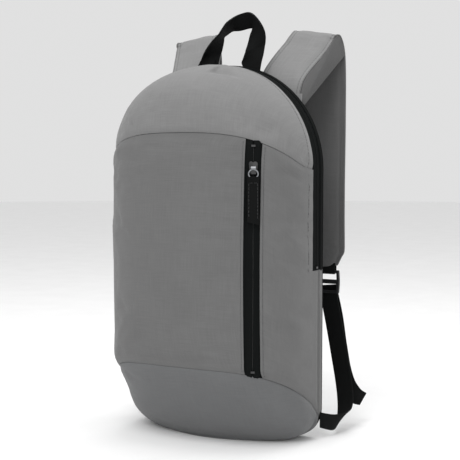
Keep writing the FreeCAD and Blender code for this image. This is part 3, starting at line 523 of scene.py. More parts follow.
inflate(air_body, held_by_seams, 3.0, 5 * MM, 0.012)
air_tree = BVHTree.FromPolygons([v.co for v in air_body.data.vertices],
                                [p.vertices for p in air_body.data.polygons])
bpy.data.objects.remove(air_body)

# %% [markdown]
# ## Fabric panels
# Four cloth panels and a base meet in the seams. Beside a seam the cloth dips, because both panels turn
# inwards there, and beside a zip it is folded double and lies a little higher. The panels are cut from
# grids, laid on the swollen body, and get their thickness and rounded edges from modifiers.

# %% Laying cloth on the body
SEAM_DIP, DIP_REACH = 1.5 * MM, 3.5 * MM
EDGE_TURN = 2 + (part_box("back_panel")[1].y - back_edge - 1 * MM) / band    # the cloth covers the back's edge
REACH_OF_RAY = 15 * MM


def laid(turn, z):
    """A point of the finished cloth: the skin, moved onto the swollen body and dipped at the seams."""
    point, out = skin(turn, z), outwards(turn, z)
    reach = seam_reach(point)
    hit = air_tree.ray_cast(point + out * REACH_OF_RAY, -out, 2 * REACH_OF_RAY)[3]
    swell = max(min(REACH_OF_RAY - hit, 5 * MM), -1 * MM) if hit else 0.0
    swell *= min(max((reach - 1 * MM) / (9 * MM), 0), 1) * min(max(z / (20 * MM), 0), 1)
    if abs(turn) > 1:
        swell = (min(swell, 0.5 * MM) + 0.9 * MM * min(max((abs(turn) - 1.9) / 0.1, 0), 1)
                 * min(z / (12 * MM), 1))
    crease = (noise.noise(Vector((point.x * 26, point.z * 90, 3)))
              + noise.noise(Vector((point.x * 70, point.z * 30, 9))))
    pucker = 0.35 * MM * crease * math.exp(-((reach - 5 * MM) / (7 * MM)) ** 2)
    seams = min(abs(z - bottom_seam(turn)), abs(z - yoke_seam(turn)) if abs(turn) <= 1 else 1)
    dip = SEAM_DIP * math.exp(-(seams / DIP_REACH) ** 2)
    return point + out * (swell + pucker - dip + dent(point))


def dent(point):
    """The soft wedge pressed into the yoke beside the handle's right foot."""
    along, down = (point.x - 15 * MM) / (38 * MM), (point.z - dent_middle(point.x)) / (4.5 * MM)
    if not 0 < along < 1 or point.y > zip_front:
        return 0.0
    wide = 1.25 - along
    return -6.0 * MM * math.sin(math.pi * along ** 0.5) * math.exp(-(down / wide) ** 2 * 2)


def dent_middle(x):
    """The height of the wedge's middle line: it follows the arch, a little below it."""
    return arch_z + math.sqrt(arch_radius ** 2 - x ** 2) - 5.5 * MM


def middle_place(side):
    """Places of the front or side panel, from its edge at the pocket zip to the back edge."""
    edge_x = pocket_zip_x + side * (band / 2 + gap) * pocket_across.x

    def place(u, v):
        z, turn = arch_z / 2, 0.0
        for _ in range(6):
            zip_turn = turn_at(edge_x, z)
            turn = zip_turn + (EDGE_TURN * side - zip_turn) * u
            low, high = bottom_seam(turn) + gap / 2, yoke_seam(turn) - gap / 2
            z = low + (high - low) * v
        return laid(turn, z)
    return place


def notch(made):
    """Cut the room for the main zip out of a panel's back edge."""
    for point, normal in (((0, 0, zip_end), (0, 0, 1)), ((0, zip_front - gap, 0), (0, 1, 0))):
        bmesh.ops.bisect_plane(made, geom=made.verts[:] + made.edges[:] + made.faces[:], dist=0.01 * MM,
                               plane_co=point, plane_no=normal)
    room = [f for f in made.faces if f.calc_center_median().z > zip_end
            and f.calc_center_median().y > zip_front - gap and abs(f.calc_center_median().x) > 0.09]
    bmesh.ops.delete(made, geom=room, context="FACES")
    return made


def yoke_place(u, v):
    turn = -1 + 2 * u
    start = (math.acos(min((yoke_seam(turn) + gap / 2 - arch_z) / arch_radius, 1))
                 if abs(turn) < 1 else math.pi / 2)
    angle = start + (math.radians(0.6) - start) * v
    return laid(turn * (1 - 1e-4), arch_z + arch_radius * math.cos(angle))


def bottom_place(u, v):
    turn = EDGE_TURN * (2 * u - 1)
    return laid(turn, gap + (bottom_seam(turn) - 1.5 * gap) * v ** 1.3)


def base_place(u, v):
    edge = skin(-0.999 + 1.998 * u, 0)
    inner = Vector((edge.x * 0.985, edge.y - 2 * MM * (edge.y < back_edge), 0))
    y = inner.y + (back_edge - inner.y) * v if inner.y < back_edge else back_edge
    sag = 0.6 * MM * math.sin(math.pi * min(max((back_edge - y) / base_depth, 0), 1)) * math.sin(math.pi * u)
    return Vector((inner.x, y, 0.1 * MM + sag))


# %% Cutting the panels
def sew_panel(name, made, material, slot, *nodes):
    piece = as_object(name, face_away(made, BAG_CENTRE), [material], "pack", *nodes, slot=slot)
    thicken(piece, FABRIC, 0.45 * MM)
    print(name, len(piece.data.polygons), "faces")
    return piece


sew_panel("front_cloth", notch(grid(110, 84, middle_place(-1))), body_cloth, "pack_cloth", "front_panel")
sew_panel("side_cloth", notch(grid(34, 84, middle_place(1))), body_cloth, "pack_cloth", "side_panel")
sew_panel("yoke_cloth", grid(96, 56, yoke_place, flat_u=True), yoke_cloth, "yoke_cloth", "top_yoke")
sew_panel("bottom_cloth", grid(140, 30, bottom_place), base_cloth, "base_cloth", "bottom_panel")
sew_panel("base_cloth", grid(60, 16, base_place, flat_u=True), base_cloth, "base_cloth", "base_panel")

# %% [markdown]
# ## Stitches
# A sewing machine leaves short threads with small gaps, about three millimetres apart. Each stitch is one
# rounded bar of a few faces, and a whole seam is one piece. The rows follow lines on the cloth.


# %% Rows of stitches
STITCH, STITCH_GAP, THREAD = 2.7 * MM, 0.8 * MM, 0.36 * MM


def even(points, spacing):
    """Points at an even distance along a line, each with its direction."""
    reach = [0.0]
    for one, two in zip(points, points[1:]):
        reach.append(reach[-1] + (two - one).length)
    count = max(int(reach[-1] / spacing), 1)
    found, i = [], 0
    for number in range(count):
        goal = (number + 0.5) * reach[-1] / count
        while reach[i + 1] < goal:
            i += 1
        along = points[i + 1] - points[i]
        found.append((points[i] + along * ((goal - reach[i]) / max(along.length, 1e-9)), along.normalized()))
    return found


def stitches(name, rows, material, body, slot):
    """Rows of stitches; each row is a list of points that lie on the cloth's outer face."""
    made = bmesh.new()
    for row in rows:
        for middle, along in even(row, STITCH + STITCH_GAP):
            turn = along.to_track_quat("Z", "Y").to_matrix().to_4x4()
            bar = bmesh.ops.create_cone(made, cap_ends=True, segments=5, radius1=THREAD, radius2=THREAD,
                                        depth=STITCH, matrix=Matrix.Translation(middle) @ turn)
            for vert in bar["verts"]:
                offset = (vert.co - middle).dot(along)
                vert.co -= (vert.co - middle - along * offset) * 0.25
    for face in made.faces:
        face.smooth = True
    layer = made.loops.layers.uv.new("UVMap")
    for face in made.faces:
        for loop in face.loops:
            loop[layer].uv = (loop.vert.co.x + loop.vert.co.y, loop.vert.co.z)
    print(name, len(made.faces), "faces")
    return as_object(name, made, [material], body, slot=slot)


def cloth_row(place, count=120, lift=0.05 * MM):
    """A line on the cloth from place(v), which gives a turn and a height."""
    line = []
    for i in range(count + 1):
        turn, z = place(i / count)
        line.append(laid(turn, z) + outwards(turn, z) * lift)
    return line


def beside_pocket_zip(side, away):
    edge_x = pocket_zip_x + side * (band / 2 + gap + away) * pocket_across.x

    def place(v):
        z = arch_z / 2
        for _ in range(6):
            turn = turn_at(edge_x, z)
            low, high = bottom_seam(turn) + 2 * MM, yoke_seam(turn) - 2 * MM
            z = low + (high - low) * v
        return turn, z
    return place


HEM = 2.4 * MM                          # a topstitch runs this far from the folded edge
pocket_rows = [cloth_row(beside_pocket_zip(side, HEM)) for side in (-1, 1)]
stitches("pocket_zip_stitches", pocket_rows, sewing_thread, "pack", "pack_cloth")
front_turn = 1 - 0.021                  # the same distance in front of the main zip, as a turn


def beside_main_zip(side):
    def place(v):
        length = arch_z - zip_end + math.pi / 2 * arch_radius * 0.985
        along = v * length
        z = zip_end + along if along < arch_z - zip_end else arch_z + arch_radius * math.sin(
            (along - arch_z + zip_end) / arch_radius)
        return side * front_turn, z
    return place


stitches("main_zip_stitches", [cloth_row(beside_main_zip(side), 160) for side in (-1, 1)],
         sewing_thread, "pack", "pack_cloth")

# %% [markdown]
# ## The padded back
# The back is foam between lining and cloth, stitched down in two upright channels. Its outline is the
# arch, so its grid runs across the back at every level. The stuffing swells between the rows of stitches
# and pulls in towards the seam, and a simulated fold would be too small to see here, so the swelling is
# worked out from the distance to the nearest stitch.

# %% The back pad
PAD_CROWN, CHANNEL = 2.2 * MM, arch_radius / 3
pad_low, pad_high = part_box("back_panel")


def arch_half_width(z):
    """Half the back's width at a height: an arch above, small round corners below."""
    if z > arch_z:
        return math.sqrt(max(arch_radius ** 2 - (z - arch_z) ** 2, 0))
    return half_width(z)


def crown(x, z):
    edge = min(arch_half_width(z) - abs(x), z - pad_low.z, (pad_high.z - z) * 1.5)
    channel = abs(abs(x) - CHANNEL)
    height = PAD_CROWN * (1 - math.exp(-max(edge, 0) / (7 * MM)))
    height *= 1 - 0.85 * math.exp(-(channel / (4 * MM)) ** 2)
    return height + 0.15 * MM * noise.noise(Vector((x * 60, z * 45, 0)))


def back_place(u, v):
    z = pad_low.z + (pad_high.z - pad_low.z - 0.3 * MM) * math.sin(v * math.pi / 2)
    x = (2 * u - 1) * max(arch_half_width(z) - 0.3 * MM, 0.5 * MM)
    return Vector((x, pad_high.y - 0.9 * MM + crown(x, z) * 0.9, z))


back_made = face_away(grid(96, 90, back_place, flat_u=True), BAG_CENTRE)
back_pad = as_object("back_pad", back_made, [back_mesh], "pack", "back_panel", slot="back_cloth")
thicken(back_pad, 2.4 * MM, 0.8 * MM)


def channel_row(side, away):
    line = []
    for i in range(161):
        z = pad_low.z + 14 * MM + (pad_high.z - pad_low.z - 30 * MM) * i / 160
        x = side * CHANNEL + away
        line.append(Vector((x, pad_high.y - 0.9 * MM + crown(x, z) * 0.9 + 0.1 * MM, z)))
    return line


stitches("back_channel_stitches", [channel_row(side, away)
                                  for side in (-1, 1) for away in (-1.5 * MM, 1.5 * MM)],
         sewing_thread, "pack", "back_cloth")
print("back pad", round(pad_high.z - pad_low.z, 3), "high")

# %% [markdown]
# ## Zips
# A zip is two woven tapes, each with a nylon coil on its edge. These are reverse coil zips: the coil is
# on the hidden side, and from outside only the two tape edges show, which meet in a thin line. The tapes
# are narrow grids with a low ridge where the coil lies beneath, and they bend to meet the cloth's hem.

# %% The pocket zip's tapes
TAPE, TAPE_REST = 1.0 * MM, 0.32 * MM    # thickness, and half the line between two closed tapes
zip_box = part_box("pocket_zip_tape_left")
zip_length = (zip_box[1].z - zip_box[0].z) / pocket_up.z
zip_centre = pocket_slider_place + pocket_up * ((zip_box[0].z + zip_box[1].z) / 2 - pocket_slider_place.z)
SLIDER_TRACK = 5 * MM                    # the tapes stay flat this far from the line, so the slider can pass


def coil_ridge(away):
    return 0.22 * MM * math.exp(-((away - 1.6 * MM) / (1.0 * MM)) ** 2)


def pocket_tape(side):
    def place(u, v):
        middle = zip_centre + pocket_up * (zip_length + 10 * MM) * (v - 0.5)
        tuck = min(max((abs(v - 0.5) * (zip_length + 10 * MM) - zip_length / 2 + 0.5 * MM) / (5 * MM), 0), 1)
        turn = turn_at(pocket_zip_x + side * (band / 2 + 2.2 * MM) * pocket_across.x, middle.z)
        hem = laid(turn, middle.z) - outwards(turn, middle.z) * 1.9 * MM - middle
        reach = abs(hem.dot(pocket_across))
        away = TAPE_REST + (reach - TAPE_REST) * u
        bend = min(max((away - SLIDER_TRACK) / (reach - SLIDER_TRACK), 0), 1)
        height = hem.dot(pocket_out) * bend * bend * (3 - 2 * bend)
        height -= 4 * MM * tuck * tuck * (3 - 2 * tuck)
        return middle + pocket_across * side * away + pocket_out * (height + coil_ridge(away) - TAPE / 2)
    return place


def sew_tape(name, columns, rows, place, node):
    piece = as_object(name, face_away(grid(columns, rows, place), BAG_CENTRE), [zip_tape], "pack", node,
                      slot="zip_tape")
    thicken(piece, TAPE, 0.2 * MM, 0.0)
    print(name, len(piece.data.polygons), "faces")


sew_tape("pocket_tape_left", 14, 90, pocket_tape(-1), "pocket_zip_tape_left")
sew_tape("pocket_tape_right", 14, 90, pocket_tape(1), "pocket_zip_tape_right")

# %% [markdown]
# The main zip runs up one side, over the arch and down the other side. Its tapes follow that path, and
# so does the edge tape behind them, which covers the raw edge of the padded back. Below the zip's ends
# the grey cloth does that.

# %% The main zip's tapes and the edge tape


def arch_path(share, low):
    """A point of the arch and its outward direction, from the left end (0) to the right end (1)."""
    straight, bow = arch_z - low, math.pi * arch_radius
    along = share * (2 * straight + bow)
    if along < straight:
        return Vector((-arch_radius, 0, low + along)), Vector((-1, 0, 0))
    if along > straight + bow:
        return Vector((arch_radius, 0, low + 2 * straight + bow - along)), Vector((1, 0, 0))
    angle = math.pi - (along - straight) / arch_radius
    out = Vector((math.cos(angle), 0, math.sin(angle)))
    return out * arch_radius + Vector((0, 0, arch_z)), out


def main_tape(side):
    def place(u, v):
        point, out = arch_path(v, zip_end + 0.2 * MM)
        away = TAPE_REST + (band / 2 + 0.5 * MM - TAPE_REST) * u
        drop = 0.5 * MM * max(away - 6.5 * MM, 0) / (2 * MM)
        return point + out * (coil_ridge(away) - TAPE / 2 - drop) + Vector((0, zip_middle + side * away, 0))
    return place


sew_tape("main_tape_front", 10, 260, main_tape(-1), "main_zip_tape_front")
sew_tape("main_tape_back", 10, 260, main_tape(1), "main_zip_tape_back")

# %% [markdown]
# Behind the tapes a nylon monofilament runs to and fro in close turns and closes the zip. Only a line of
# it shows between the tapes, so one rippled strip, whose waves are as far apart as the turns, stands for
# both halves of the closed chain.

# %% The coils
COIL_TURN, COIL_WIDTH, COIL_DEPTH = 1.5 * MM, 4.6 * MM, 1.3 * MM


def coil_wave(u, along):
    """How far the coil's face rises: turns along it, rounded off towards both sides."""
    return 0.25 * MM * math.sin(math.tau * along / COIL_TURN) - 0.8 * MM * (2 * u - 1) ** 4


def pocket_coil(u, v):
    along = (zip_length - 8 * MM) * (v - 0.5)
    return zip_centre + pocket_up * along + pocket_across * COIL_WIDTH * (u - 0.5) + pocket_out * (
        coil_wave(u, along) - TAPE - COIL_DEPTH / 2 - 0.3 * MM)


def main_coil(u, v):
    point, out = arch_path(v, zip_end + 2 * MM)
    along = v * (2 * (arch_z - zip_end) + math.pi * arch_radius)
    return point + out * (coil_wave(u, along) - TAPE - COIL_DEPTH / 2 - 0.3 * MM) + Vector(
        (0, zip_middle + COIL_WIDTH * (u - 0.5), 0))


for name, rows, place, nodes in (("pocket_coil", 900, pocket_coil,
                                  ("pocket_zip_coil_left", "pocket_zip_coil_right")),
                                 ("main_coil", 2100, main_coil,
                                  ("main_zip_coil_front", "main_zip_coil_back"))):
    coil = as_object(name, face_away(grid(6, rows, place), BAG_CENTRE),
                     [nylon_coil], "pack", *nodes, slot="zip_coil")
    thicken(coil, COIL_DEPTH, 0.1 * MM, 0.0).modifiers.remove(coil.modifiers["rounding"])
    print(name, len(coil.data.polygons), "faces")

# %% The edge tape
EDGE_WIDTH = pad_high.y - back_edge + 0.4 * MM


def edge_place(u, v):
    point, out = arch_path(v, zip_end - 1 * MM)
    swell = 0.8 * MM * math.sin(math.pi * min(u + 0.1, 1)) + 0.3 * MM
    return point + out * swell + Vector((0, back_edge - 0.2 * MM + EDGE_WIDTH * u, 0))


edge_tape = as_object("edge_tape", face_away(grid(8, 260, edge_place), BAG_CENTRE), [zip_tape], "pack",
                      slot="zip_tape")
thicken(edge_tape, 0.9 * MM, 0.3 * MM)

# %% [markdown]
# The outline of the back is bound: a folded tape wraps its edge all the way round. Its path is the
# bottom, the rounded corners, the sides and the arch, and its section is a shallow hook.

# %% The binding round the back
BINDING = [(0.6, -1.6), (1.0, -0.9), (1.0, 0.0), (0.5, 0.8), (-0.6, 1.15), (-3.2, 1.2), (-5.0, 0.9)]


def rim_path(share):
    """A point of the back's outline and its outward direction, all the way round from the bottom."""
    flat, bow = arch_radius - corner_radius, math.pi / 2 * corner_radius
    rise, half = arch_z - corner_radius, math.pi / 2 * arch_radius
    side = 1 if share >= 0.5 else -1
    along = abs(share - 0.5) * 2 * (flat + bow + rise + half)
    if along < flat:
        point, out = Vector((along, 0, 0)), Vector((0, 0, -1))
    elif along < flat + bow:
        angle = (along - flat) / corner_radius
        out = Vector((math.sin(angle), 0, -math.cos(angle)))
        point = Vector((flat, 0, corner_radius)) + out * corner_radius
    elif along < flat + bow + rise:
        point, out = Vector((arch_radius, 0, corner_radius + along - flat - bow)), Vector((1, 0, 0))
    else:
        angle = (along - flat - bow - rise) / arch_radius
        out = Vector((math.cos(angle), 0, math.sin(angle)))
        point = Vector((0, 0, arch_z)) + out * arch_radius
    return Vector((side * point.x, 0, point.z)), Vector((side * out.x, 0, out.z))


def binding_place(u, v):
    point, out = rim_path(v)
    at = min(u * (len(BINDING) - 1), len(BINDING) - 1.001)
    (o1, y1), (o2, y2) = BINDING[int(at)], BINDING[int(at) + 1]
    lift, y = o1 + (o2 - o1) * (at % 1), y1 + (y2 - y1) * (at % 1)
    if lift > 0:
        lift *= min(max(point.z / (12 * MM), 0), 1)
    return point + out * lift * MM + Vector((0, pad_high.y + y * MM, 0))


binding = as_object("edge_binding", grid(12, 420, binding_place, closed=True),
                    [webbing], "pack", "seam_binding",
                    slot="black_webbing")
thicken(binding, 0.7 * MM, 0.25 * MM)
print("binding", len(binding.data.polygons), "faces")

# %% [markdown]
# ## Sliders and pullers
# A slider is a die-cast shield over the tapes with a bridge on top, and the puller hangs on the bridge.
# The shield starts as a flat outline that is extruded and bevelled. Each slider has its own three
# directions: across the zip, along it, and out of it.

# %% Metal parts of a zip


def local_to(origin, across, up, out):
    place = Matrix((across, up, out)).transposed().to_4x4()
    place.translation = origin
    return place


def plate(made, outline, low, high, edge):
    """Add a flat outline from one height to another, with rounded edges."""
    corners = [made.verts.new((x * MM, y * MM, low)) for x, y in outline]
    face = made.faces.new(corners)
    pushed = bmesh.ops.extrude_face_region(made, geom=[face])["geom"]
    new_verts = [g for g in pushed if isinstance(g, bmesh.types.BMVert)]
    bmesh.ops.translate(made, verts=new_verts, vec=(0, 0, high - low))
    whole = set(corners + new_verts)
    edges = [e for e in made.edges if e.verts[0] in whole and e.verts[1] in whole]
    bmesh.ops.bevel(made, geom=edges, offset=edge, segments=2, profile=0.5, affect="EDGES", material=-1)


def rod(made, start, stop, radius, segments=20):
    """Add a round bar between two points, with rounded ends."""
    along = stop - start
    turn = along.to_track_quat("Z", "Y").to_matrix().to_4x4()
    bar = bmesh.ops.create_cone(made, cap_ends=True, segments=segments, radius1=radius, radius2=radius,
                                depth=along.length, matrix=Matrix.Translation((start + stop) / 2) @ turn)
    ends = [e for e in made.edges if e.verts[0] in bar["verts"] and e.verts[1] in bar["verts"]
            and abs((e.verts[0].co - e.verts[1].co).dot(along)) < 1e-9]
    bmesh.ops.bevel(made, geom=ends, offset=radius * 0.25, segments=2, profile=0.5,
                    affect="EDGES", material=-1)


def ring(made, centre, across, along, wire, segments=40):
    """Add an oval ring of wire round a centre, in the XY plane."""
    start = bmesh.ops.create_circle(made, segments=12, radius=wire,
                                    matrix=Matrix.Translation((1, 0, 0))
                                    @ Matrix.Rotation(math.pi / 2, 4, "X"))
    geom = start["verts"] + [e for e in made.edges if e.verts[0] in start["verts"]]
    before = set(made.verts) - set(start["verts"])
    for vert in start["verts"]:
        vert.co.x = 10 * MM + (vert.co.x - 1)
    bmesh.ops.spin(made, geom=geom, cent=(0, 0, 0), axis=(0, 0, 1), dvec=(0, 0, 0), angle=math.tau,
                   steps=segments, use_merge=True, use_duplicate=False)
    for vert in set(made.verts) - before:
        out = Vector((vert.co.x, vert.co.y, 0)).normalized()
        offset = Vector((vert.co.x, vert.co.y, 0)).length - 10 * MM
        vert.co = centre + Vector((out.x * (across + offset), out.y * (along + offset), vert.co.z))


def finish_metal(name, made, place, material, body, *nodes, slot):
    bmesh.ops.remove_doubles(made, verts=made.verts, dist=0.005 * MM)
    bmesh.ops.recalc_face_normals(made, faces=made.faces)
    made.transform(place)
    for face in made.faces:
        face.smooth = True
    for edge in made.edges:
        if len(edge.link_faces) == 2 and edge.calc_face_angle() > math.radians(35):
            edge.smooth = False
    piece = as_object(name, made, [material], body, *nodes, slot=slot)
    print(name, len(piece.data.polygons), "faces")
    return piece


SHIELD = [(-2.4, -6.4), (2.4, -6.4), (3.6, -4.6), (4.2, 0), (4.5, 4.2), (3.6, 6.2), (1.4, 6.4), (0, 5.2),
          (-1.4, 6.4), (-3.6, 6.2), (-4.5, 4.2), (-4.2, 0), (-3.6, -4.6)]
PLAY, PLATE, BEHIND = 0.4 * MM, 1.2 * MM, 4.6 * MM
BRIDGE_HALF, BAR_RADIUS = 3.3 * MM, 0.8 * MM


def make_slider(name, place, body, node):
    made = bmesh.new()
    plate(made, SHIELD, PLAY, PLAY + PLATE, 0.35 * MM)
    plate(made, SHIELD, -BEHIND + 0.4 * MM, -BEHIND + 0.4 * MM + PLATE, 0.35 * MM)
    for side in (-1, 1):
        lug = [(side * 3.3 - 0.5, -1.5), (side * 3.3 + 0.5, -1.5),
               (side * 3.3 + 0.5, 1.5), (side * 3.3 - 0.5, 1.5)]
        plate(made, lug, PLAY + 0.8 * MM, BAR_HEIGHT + BAR_RADIUS, 0.3 * MM)
    rod(made, Vector((-BRIDGE_HALF, 0, BAR_HEIGHT)), Vector((BRIDGE_HALF, 0, BAR_HEIGHT)), BAR_RADIUS)
    finish_metal(name, made, place, black_enamel, body, node, slot="zip_metal")


def eye(made):
    """The sleeve that turns on a slider's bar: a short tube, round the origin."""
    inner, outer, half = BAR_RADIUS + 0.08 * MM, BAR_RADIUS + 0.88 * MM, 2.4 * MM
    section = [made.verts.new((x, y, 0))
               for x, y in ((-half, inner), (half, inner), (half, outer), (-half, outer))]
    edges = [made.edges.new((section[i], section[(i + 1) % 4])) for i in range(4)]
    bmesh.ops.spin(made, geom=section + edges, cent=(0, 0, 0), axis=(1, 0, 0), dvec=(0, 0, 0), angle=math.tau,
                   steps=28, use_merge=True, use_duplicate=False)


def make_link(name, place, body, node):
    made = bmesh.new()
    ring(made, Vector((0, -5.9 * MM, 0)), 4.7 * MM, 4.5 * MM, 0.75 * MM)
    eye(made)
    finish_metal(name, made, place, zip_metal, body, node, slot="zip_metal")


def make_tongue(name, place, body, node):
    """A flat metal puller: an eye, a waisted tongue and a rounded end."""
    made = bmesh.new()
    eye(made)
    outline = [(-2.2, -1), (2.2, -1), (1.8, -5), (2.4, -11), (2.4, -15.5), (1.6, -17.6), (0, -18),
               (-1.6, -17.6), (-2.4, -15.5), (-2.4, -11), (-1.8, -5)]
    plate(made, outline, -0.6 * MM, 0.6 * MM, 0.3 * MM)
    plate(made, [(-1.0, -10), (1.0, -10), (1.3, -14.5), (0, -15.6), (-1.3, -14.5)],
          0.5 * MM, 0.95 * MM, 0.2 * MM)
    finish_metal(name, made, place, zip_metal, body, node, slot="zip_metal")


pocket_slider_at = local_to(pocket_slider_place, pocket_across, pocket_up, pocket_out)
pocket_hinge_at = local_to(pocket_slider_place + pocket_out * BAR_HEIGHT, pocket_across,
                           pocket_up, pocket_out)
make_slider("pocket_shield", pocket_slider_at, "pocket_slider", "pocket_slider")
make_link("pocket_ring", pocket_hinge_at, "pocket_puller", "pocket_puller")

for name, joint, body in (("upper", "upper_puller_swing", "upper"), ("lower", "lower_puller_swing", "lower")):
    hinge = Vector(next(j for j in frame["joints"] if j["name"] == joint)["pos_m"])
    across = Vector((0, -1, 0))
    out = Vector((hinge.x, 0, hinge.z - arch_z)).normalized() if name == "upper" else Vector((-1, 0, 0))
    up = out.cross(across)
    make_slider(f"{name}_shield", local_to(hinge - out * BAR_HEIGHT, across, up, out), f"{body}_slider",
                f"main_slider_{name}")
    make_tongue(f"{name}_tongue", local_to(hinge, across, up, out), f"{body}_puller", f"main_puller_{name}")

# %% [markdown]
# The pocket's pull tab is a strip of black webbing, folded round the ring and sewn shut. Its lower end is
# cut at a slant. Two layers show at the sides as a fine line, so the tab is two grids a hair apart, joined
# by the fold at the top.

# %% The pull tab
TAB_HALF, TAB_TOP, TAB_LOW = 6 * MM, -8.6 * MM, -57 * MM


def tab_place(u, v):
    across = (2 * u - 1) * TAB_HALF
    around = 2 * v - 1                            # -1 and 1 are the cut ends, 0 is the fold at the ring
    slant = 3 * MM * u
    reach = TAB_TOP + (TAB_LOW + 3 * MM - slant - TAB_TOP) * abs(around)
    swell = 0.45 * MM + 1.0 * MM * math.exp(-(abs(around) / 0.06) ** 2) * min(abs(around) / 0.03, 1)
    height = math.copysign(swell, around) if around else 0.0
    ripple = 0.25 * MM * noise.noise(Vector((across * 60, reach * 50, 5)))
    return pocket_hinge_at @ Vector((across, reach, height + ripple))


tab = as_object("pull_tab", grid(12, 96, tab_place), [webbing],
                "pocket_puller", "pocket_pull_tab", slot="pull_tab")
thicken(tab, 0.7 * MM, 0.2 * MM, 0.0)
tab_rows = [[pocket_hinge_at @ Vector((x, y, 0.9 * MM)) for x, y in corners] for corners in (
    ((-4.4 * MM, -15 * MM), (-4.4 * MM, -49 * MM)), ((4.4 * MM, -15 * MM), (4.4 * MM, -51 * MM)),
    ((-4.4 * MM, -15 * MM), (4.4 * MM, -15 * MM)))]
stitches("pull_tab_stitches", tab_rows, dark_thread, "pocket_puller", "pull_tab")

# %% [markdown]
# ## The haul handle
# The handle is one length of webbing that is sewn into the top seam at both feet. Nobody lays webbing
# down flat there: it twists a little on its way over. So the ribbon is described by stations. Each has
# the two points where the camera's lines of sight to its edges meet the handle's own plane. The depth
# between the edges is what is missing to the webbing's real width.

# %% The twisted ribbon
WEBBING_WIDTH, WEBBING = 22 * MM, 2.0 * MM
VIEW_SLOPE = math.tan(AZIMUTH)            # sideways step that hides a step in depth
SOLVED_SLOPE = 0.563                      # the same to three digits, with which the depth is solved
HANDLE_LEAN = math.radians(14)            # the handle leans back over the straps
FLAT_FOOT, TWIST_START = 3 * MM, 12 * MM  # the sewn foot stays flat, and the twist comes in above it
FOOT_STEP = 1 * MM                        # the feet lie behind the hinge line
handle_joint = Vector(next(j for j in frame["joints"] if j["name"] == "handle_fold")["pos_m"])
HANDLE = [  # outer edge x, z and inner edge x, z in millimetres, on the plane of the handle
    (-40.5, 392.9, -16.5, 399.4), (-41.2, 400.2, -15.9, 401.4), (-33.7, 417.4, -13.4, 416.6),
    (-26.0, 428.0, -12.4, 428.6), (-19.6, 434.0, -12.4, 434.4), (-15.0, 441.5, -8.2, 437.6),
    (-9.5, 448.9, -1.9, 441.0), (4.3, 456.8, 8.0, 440.5), (17.9, 457.4, 22.5, 442.6),
    (32.7, 444.6, 21.2, 434.6), (40.0, 431.4, 19.0, 422.4), (40.0, 416.6, 15.5, 410.1),
    (38.2, 404.0, 14.5, 403.6), (37.6, 393.9, 16.6, 399.4)]


def between(rows, share):
    """A smooth value between rows of numbers: a Catmull-Rom curve through them."""
    at = min(max(share, 0), 1) * (len(rows) - 1)
    i = min(int(at), len(rows) - 2)
    t = at - i
    picked = [rows[min(max(i + k, 0), len(rows) - 1)] for k in (-1, 0, 1, 2)]
    return [0.5 * (2 * b + (c - a) * t + (2 * a - 5 * b + 4 * c - d) * t * t
                   + (3 * b - a - 3 * c + d) * t ** 3)
            for a, b, c, d in zip(*picked)]


def handle_edges(v):
    ox, oz, ix, iz = [c * MM for c in between(HANDLE, v)]
    lean = math.tan(HANDLE_LEAN)
    across, rise = ix - ox, iz - oz
    sideways, spread = 2 * SOLVED_SLOPE * across, 1 + SOLVED_SLOPE ** 2
    under = sideways ** 2 - 4 * spread * (across ** 2 + rise ** 2 - WEBBING_WIDTH ** 2)
    depth = (sideways + math.sqrt(max(under, 0))) / (2 * spread) / 2
    depth *= min(max((min(oz, iz) - handle_joint.z - FLAT_FOOT) / TWIST_START, 0), 1)
    y = handle_joint.y + FOOT_STEP
    outer = Vector((ox + depth * VIEW_SLOPE, y + (oz - handle_joint.z) * lean - depth, oz))
    inner = Vector((ix - depth * VIEW_SLOPE, y + (iz - handle_joint.z) * lean + depth, iz))
    return outer, inner


def handle_place(u, v):
    outer, inner = handle_edges(v)
    bow = 0.8 * MM * math.sin(math.pi * u) * math.sin(math.pi * v)
    return outer.lerp(inner, u) + Vector((0, -bow, 0))


handle_made = grid(10, 130, handle_place)
handle = as_object("handle_ribbon", handle_made, [webbing], "handle", "haul_handle", slot="handle_webbing")
thicken(handle, WEBBING, 0.55 * MM, 0.0)
print("handle", len(handle.data.polygons), "faces")

# %% [markdown]
# ## Shoulder straps
# A strap is cloth over a thin layer of foam, with a lining, turned in and sewn twice along both edges. Its
# cloth face has a lighter grey, painted light, and its lining a darker grey, painted shade. It is sewn to
# the back below the arch, leans away from it, folds over its crest and hangs down behind the back. A closed
# section is swept along stations: a flat flange where the stitches are, and a soft crown over the foam. A
# remesh would erase so thin a shape, so the padding is modelled directly, and the creases at the fold come
# from waves that follow the strap.

# %% The route of a strap
STRAP_WIDTH = 54 * MM
STRAP = [  # x, y, z of the middle, slope of the width, share of the width
    (56, 35.4, 352, 0, 1), (56, 35.4, 362, 0, 1), (56.2, 36.2, 372, 0, 1), (57.2, 39.6, 382.5, -0.02, 1),
    (59.2, 45.6, 392.5, -0.07, 1), (62.4, 53.2, 402, -0.12, 1), (66.2, 62.0, 411.5, -0.16, 1),
    (70.6, 71.6, 421.5, -0.18, 1), (73.4, 78.6, 430, -0.18, 1), (75.4, 85.2, 435.8, -0.17, 1),
    (76.8, 91.8, 434.6, -0.12, 1), (77.8, 97.0, 427, -0.08, 1), (78.3, 100.6, 415, -0.03, 1),
    (78.5, 102.0, 400, 0, 1), (78.5, 102.8, 380, 0, 1), (78.5, 102.8, 355, 0, 1), (78.5, 102.8, 330, 0, 1),
    (78.5, 102.4, 305, 0, 1), (78.5, 101.8, 280, 0, 1), (78.7, 101.3, 255, 0, 1), (79, 100.7, 230, 0, 1),
    (79.6, 100.0, 208, 0, 1), (80.4, 99.8, 194, 0, 0.96), (81.2, 99.8, 186, 0, 0.79),
    (82.2, 99.8, 178.4, 0, 0.60)]


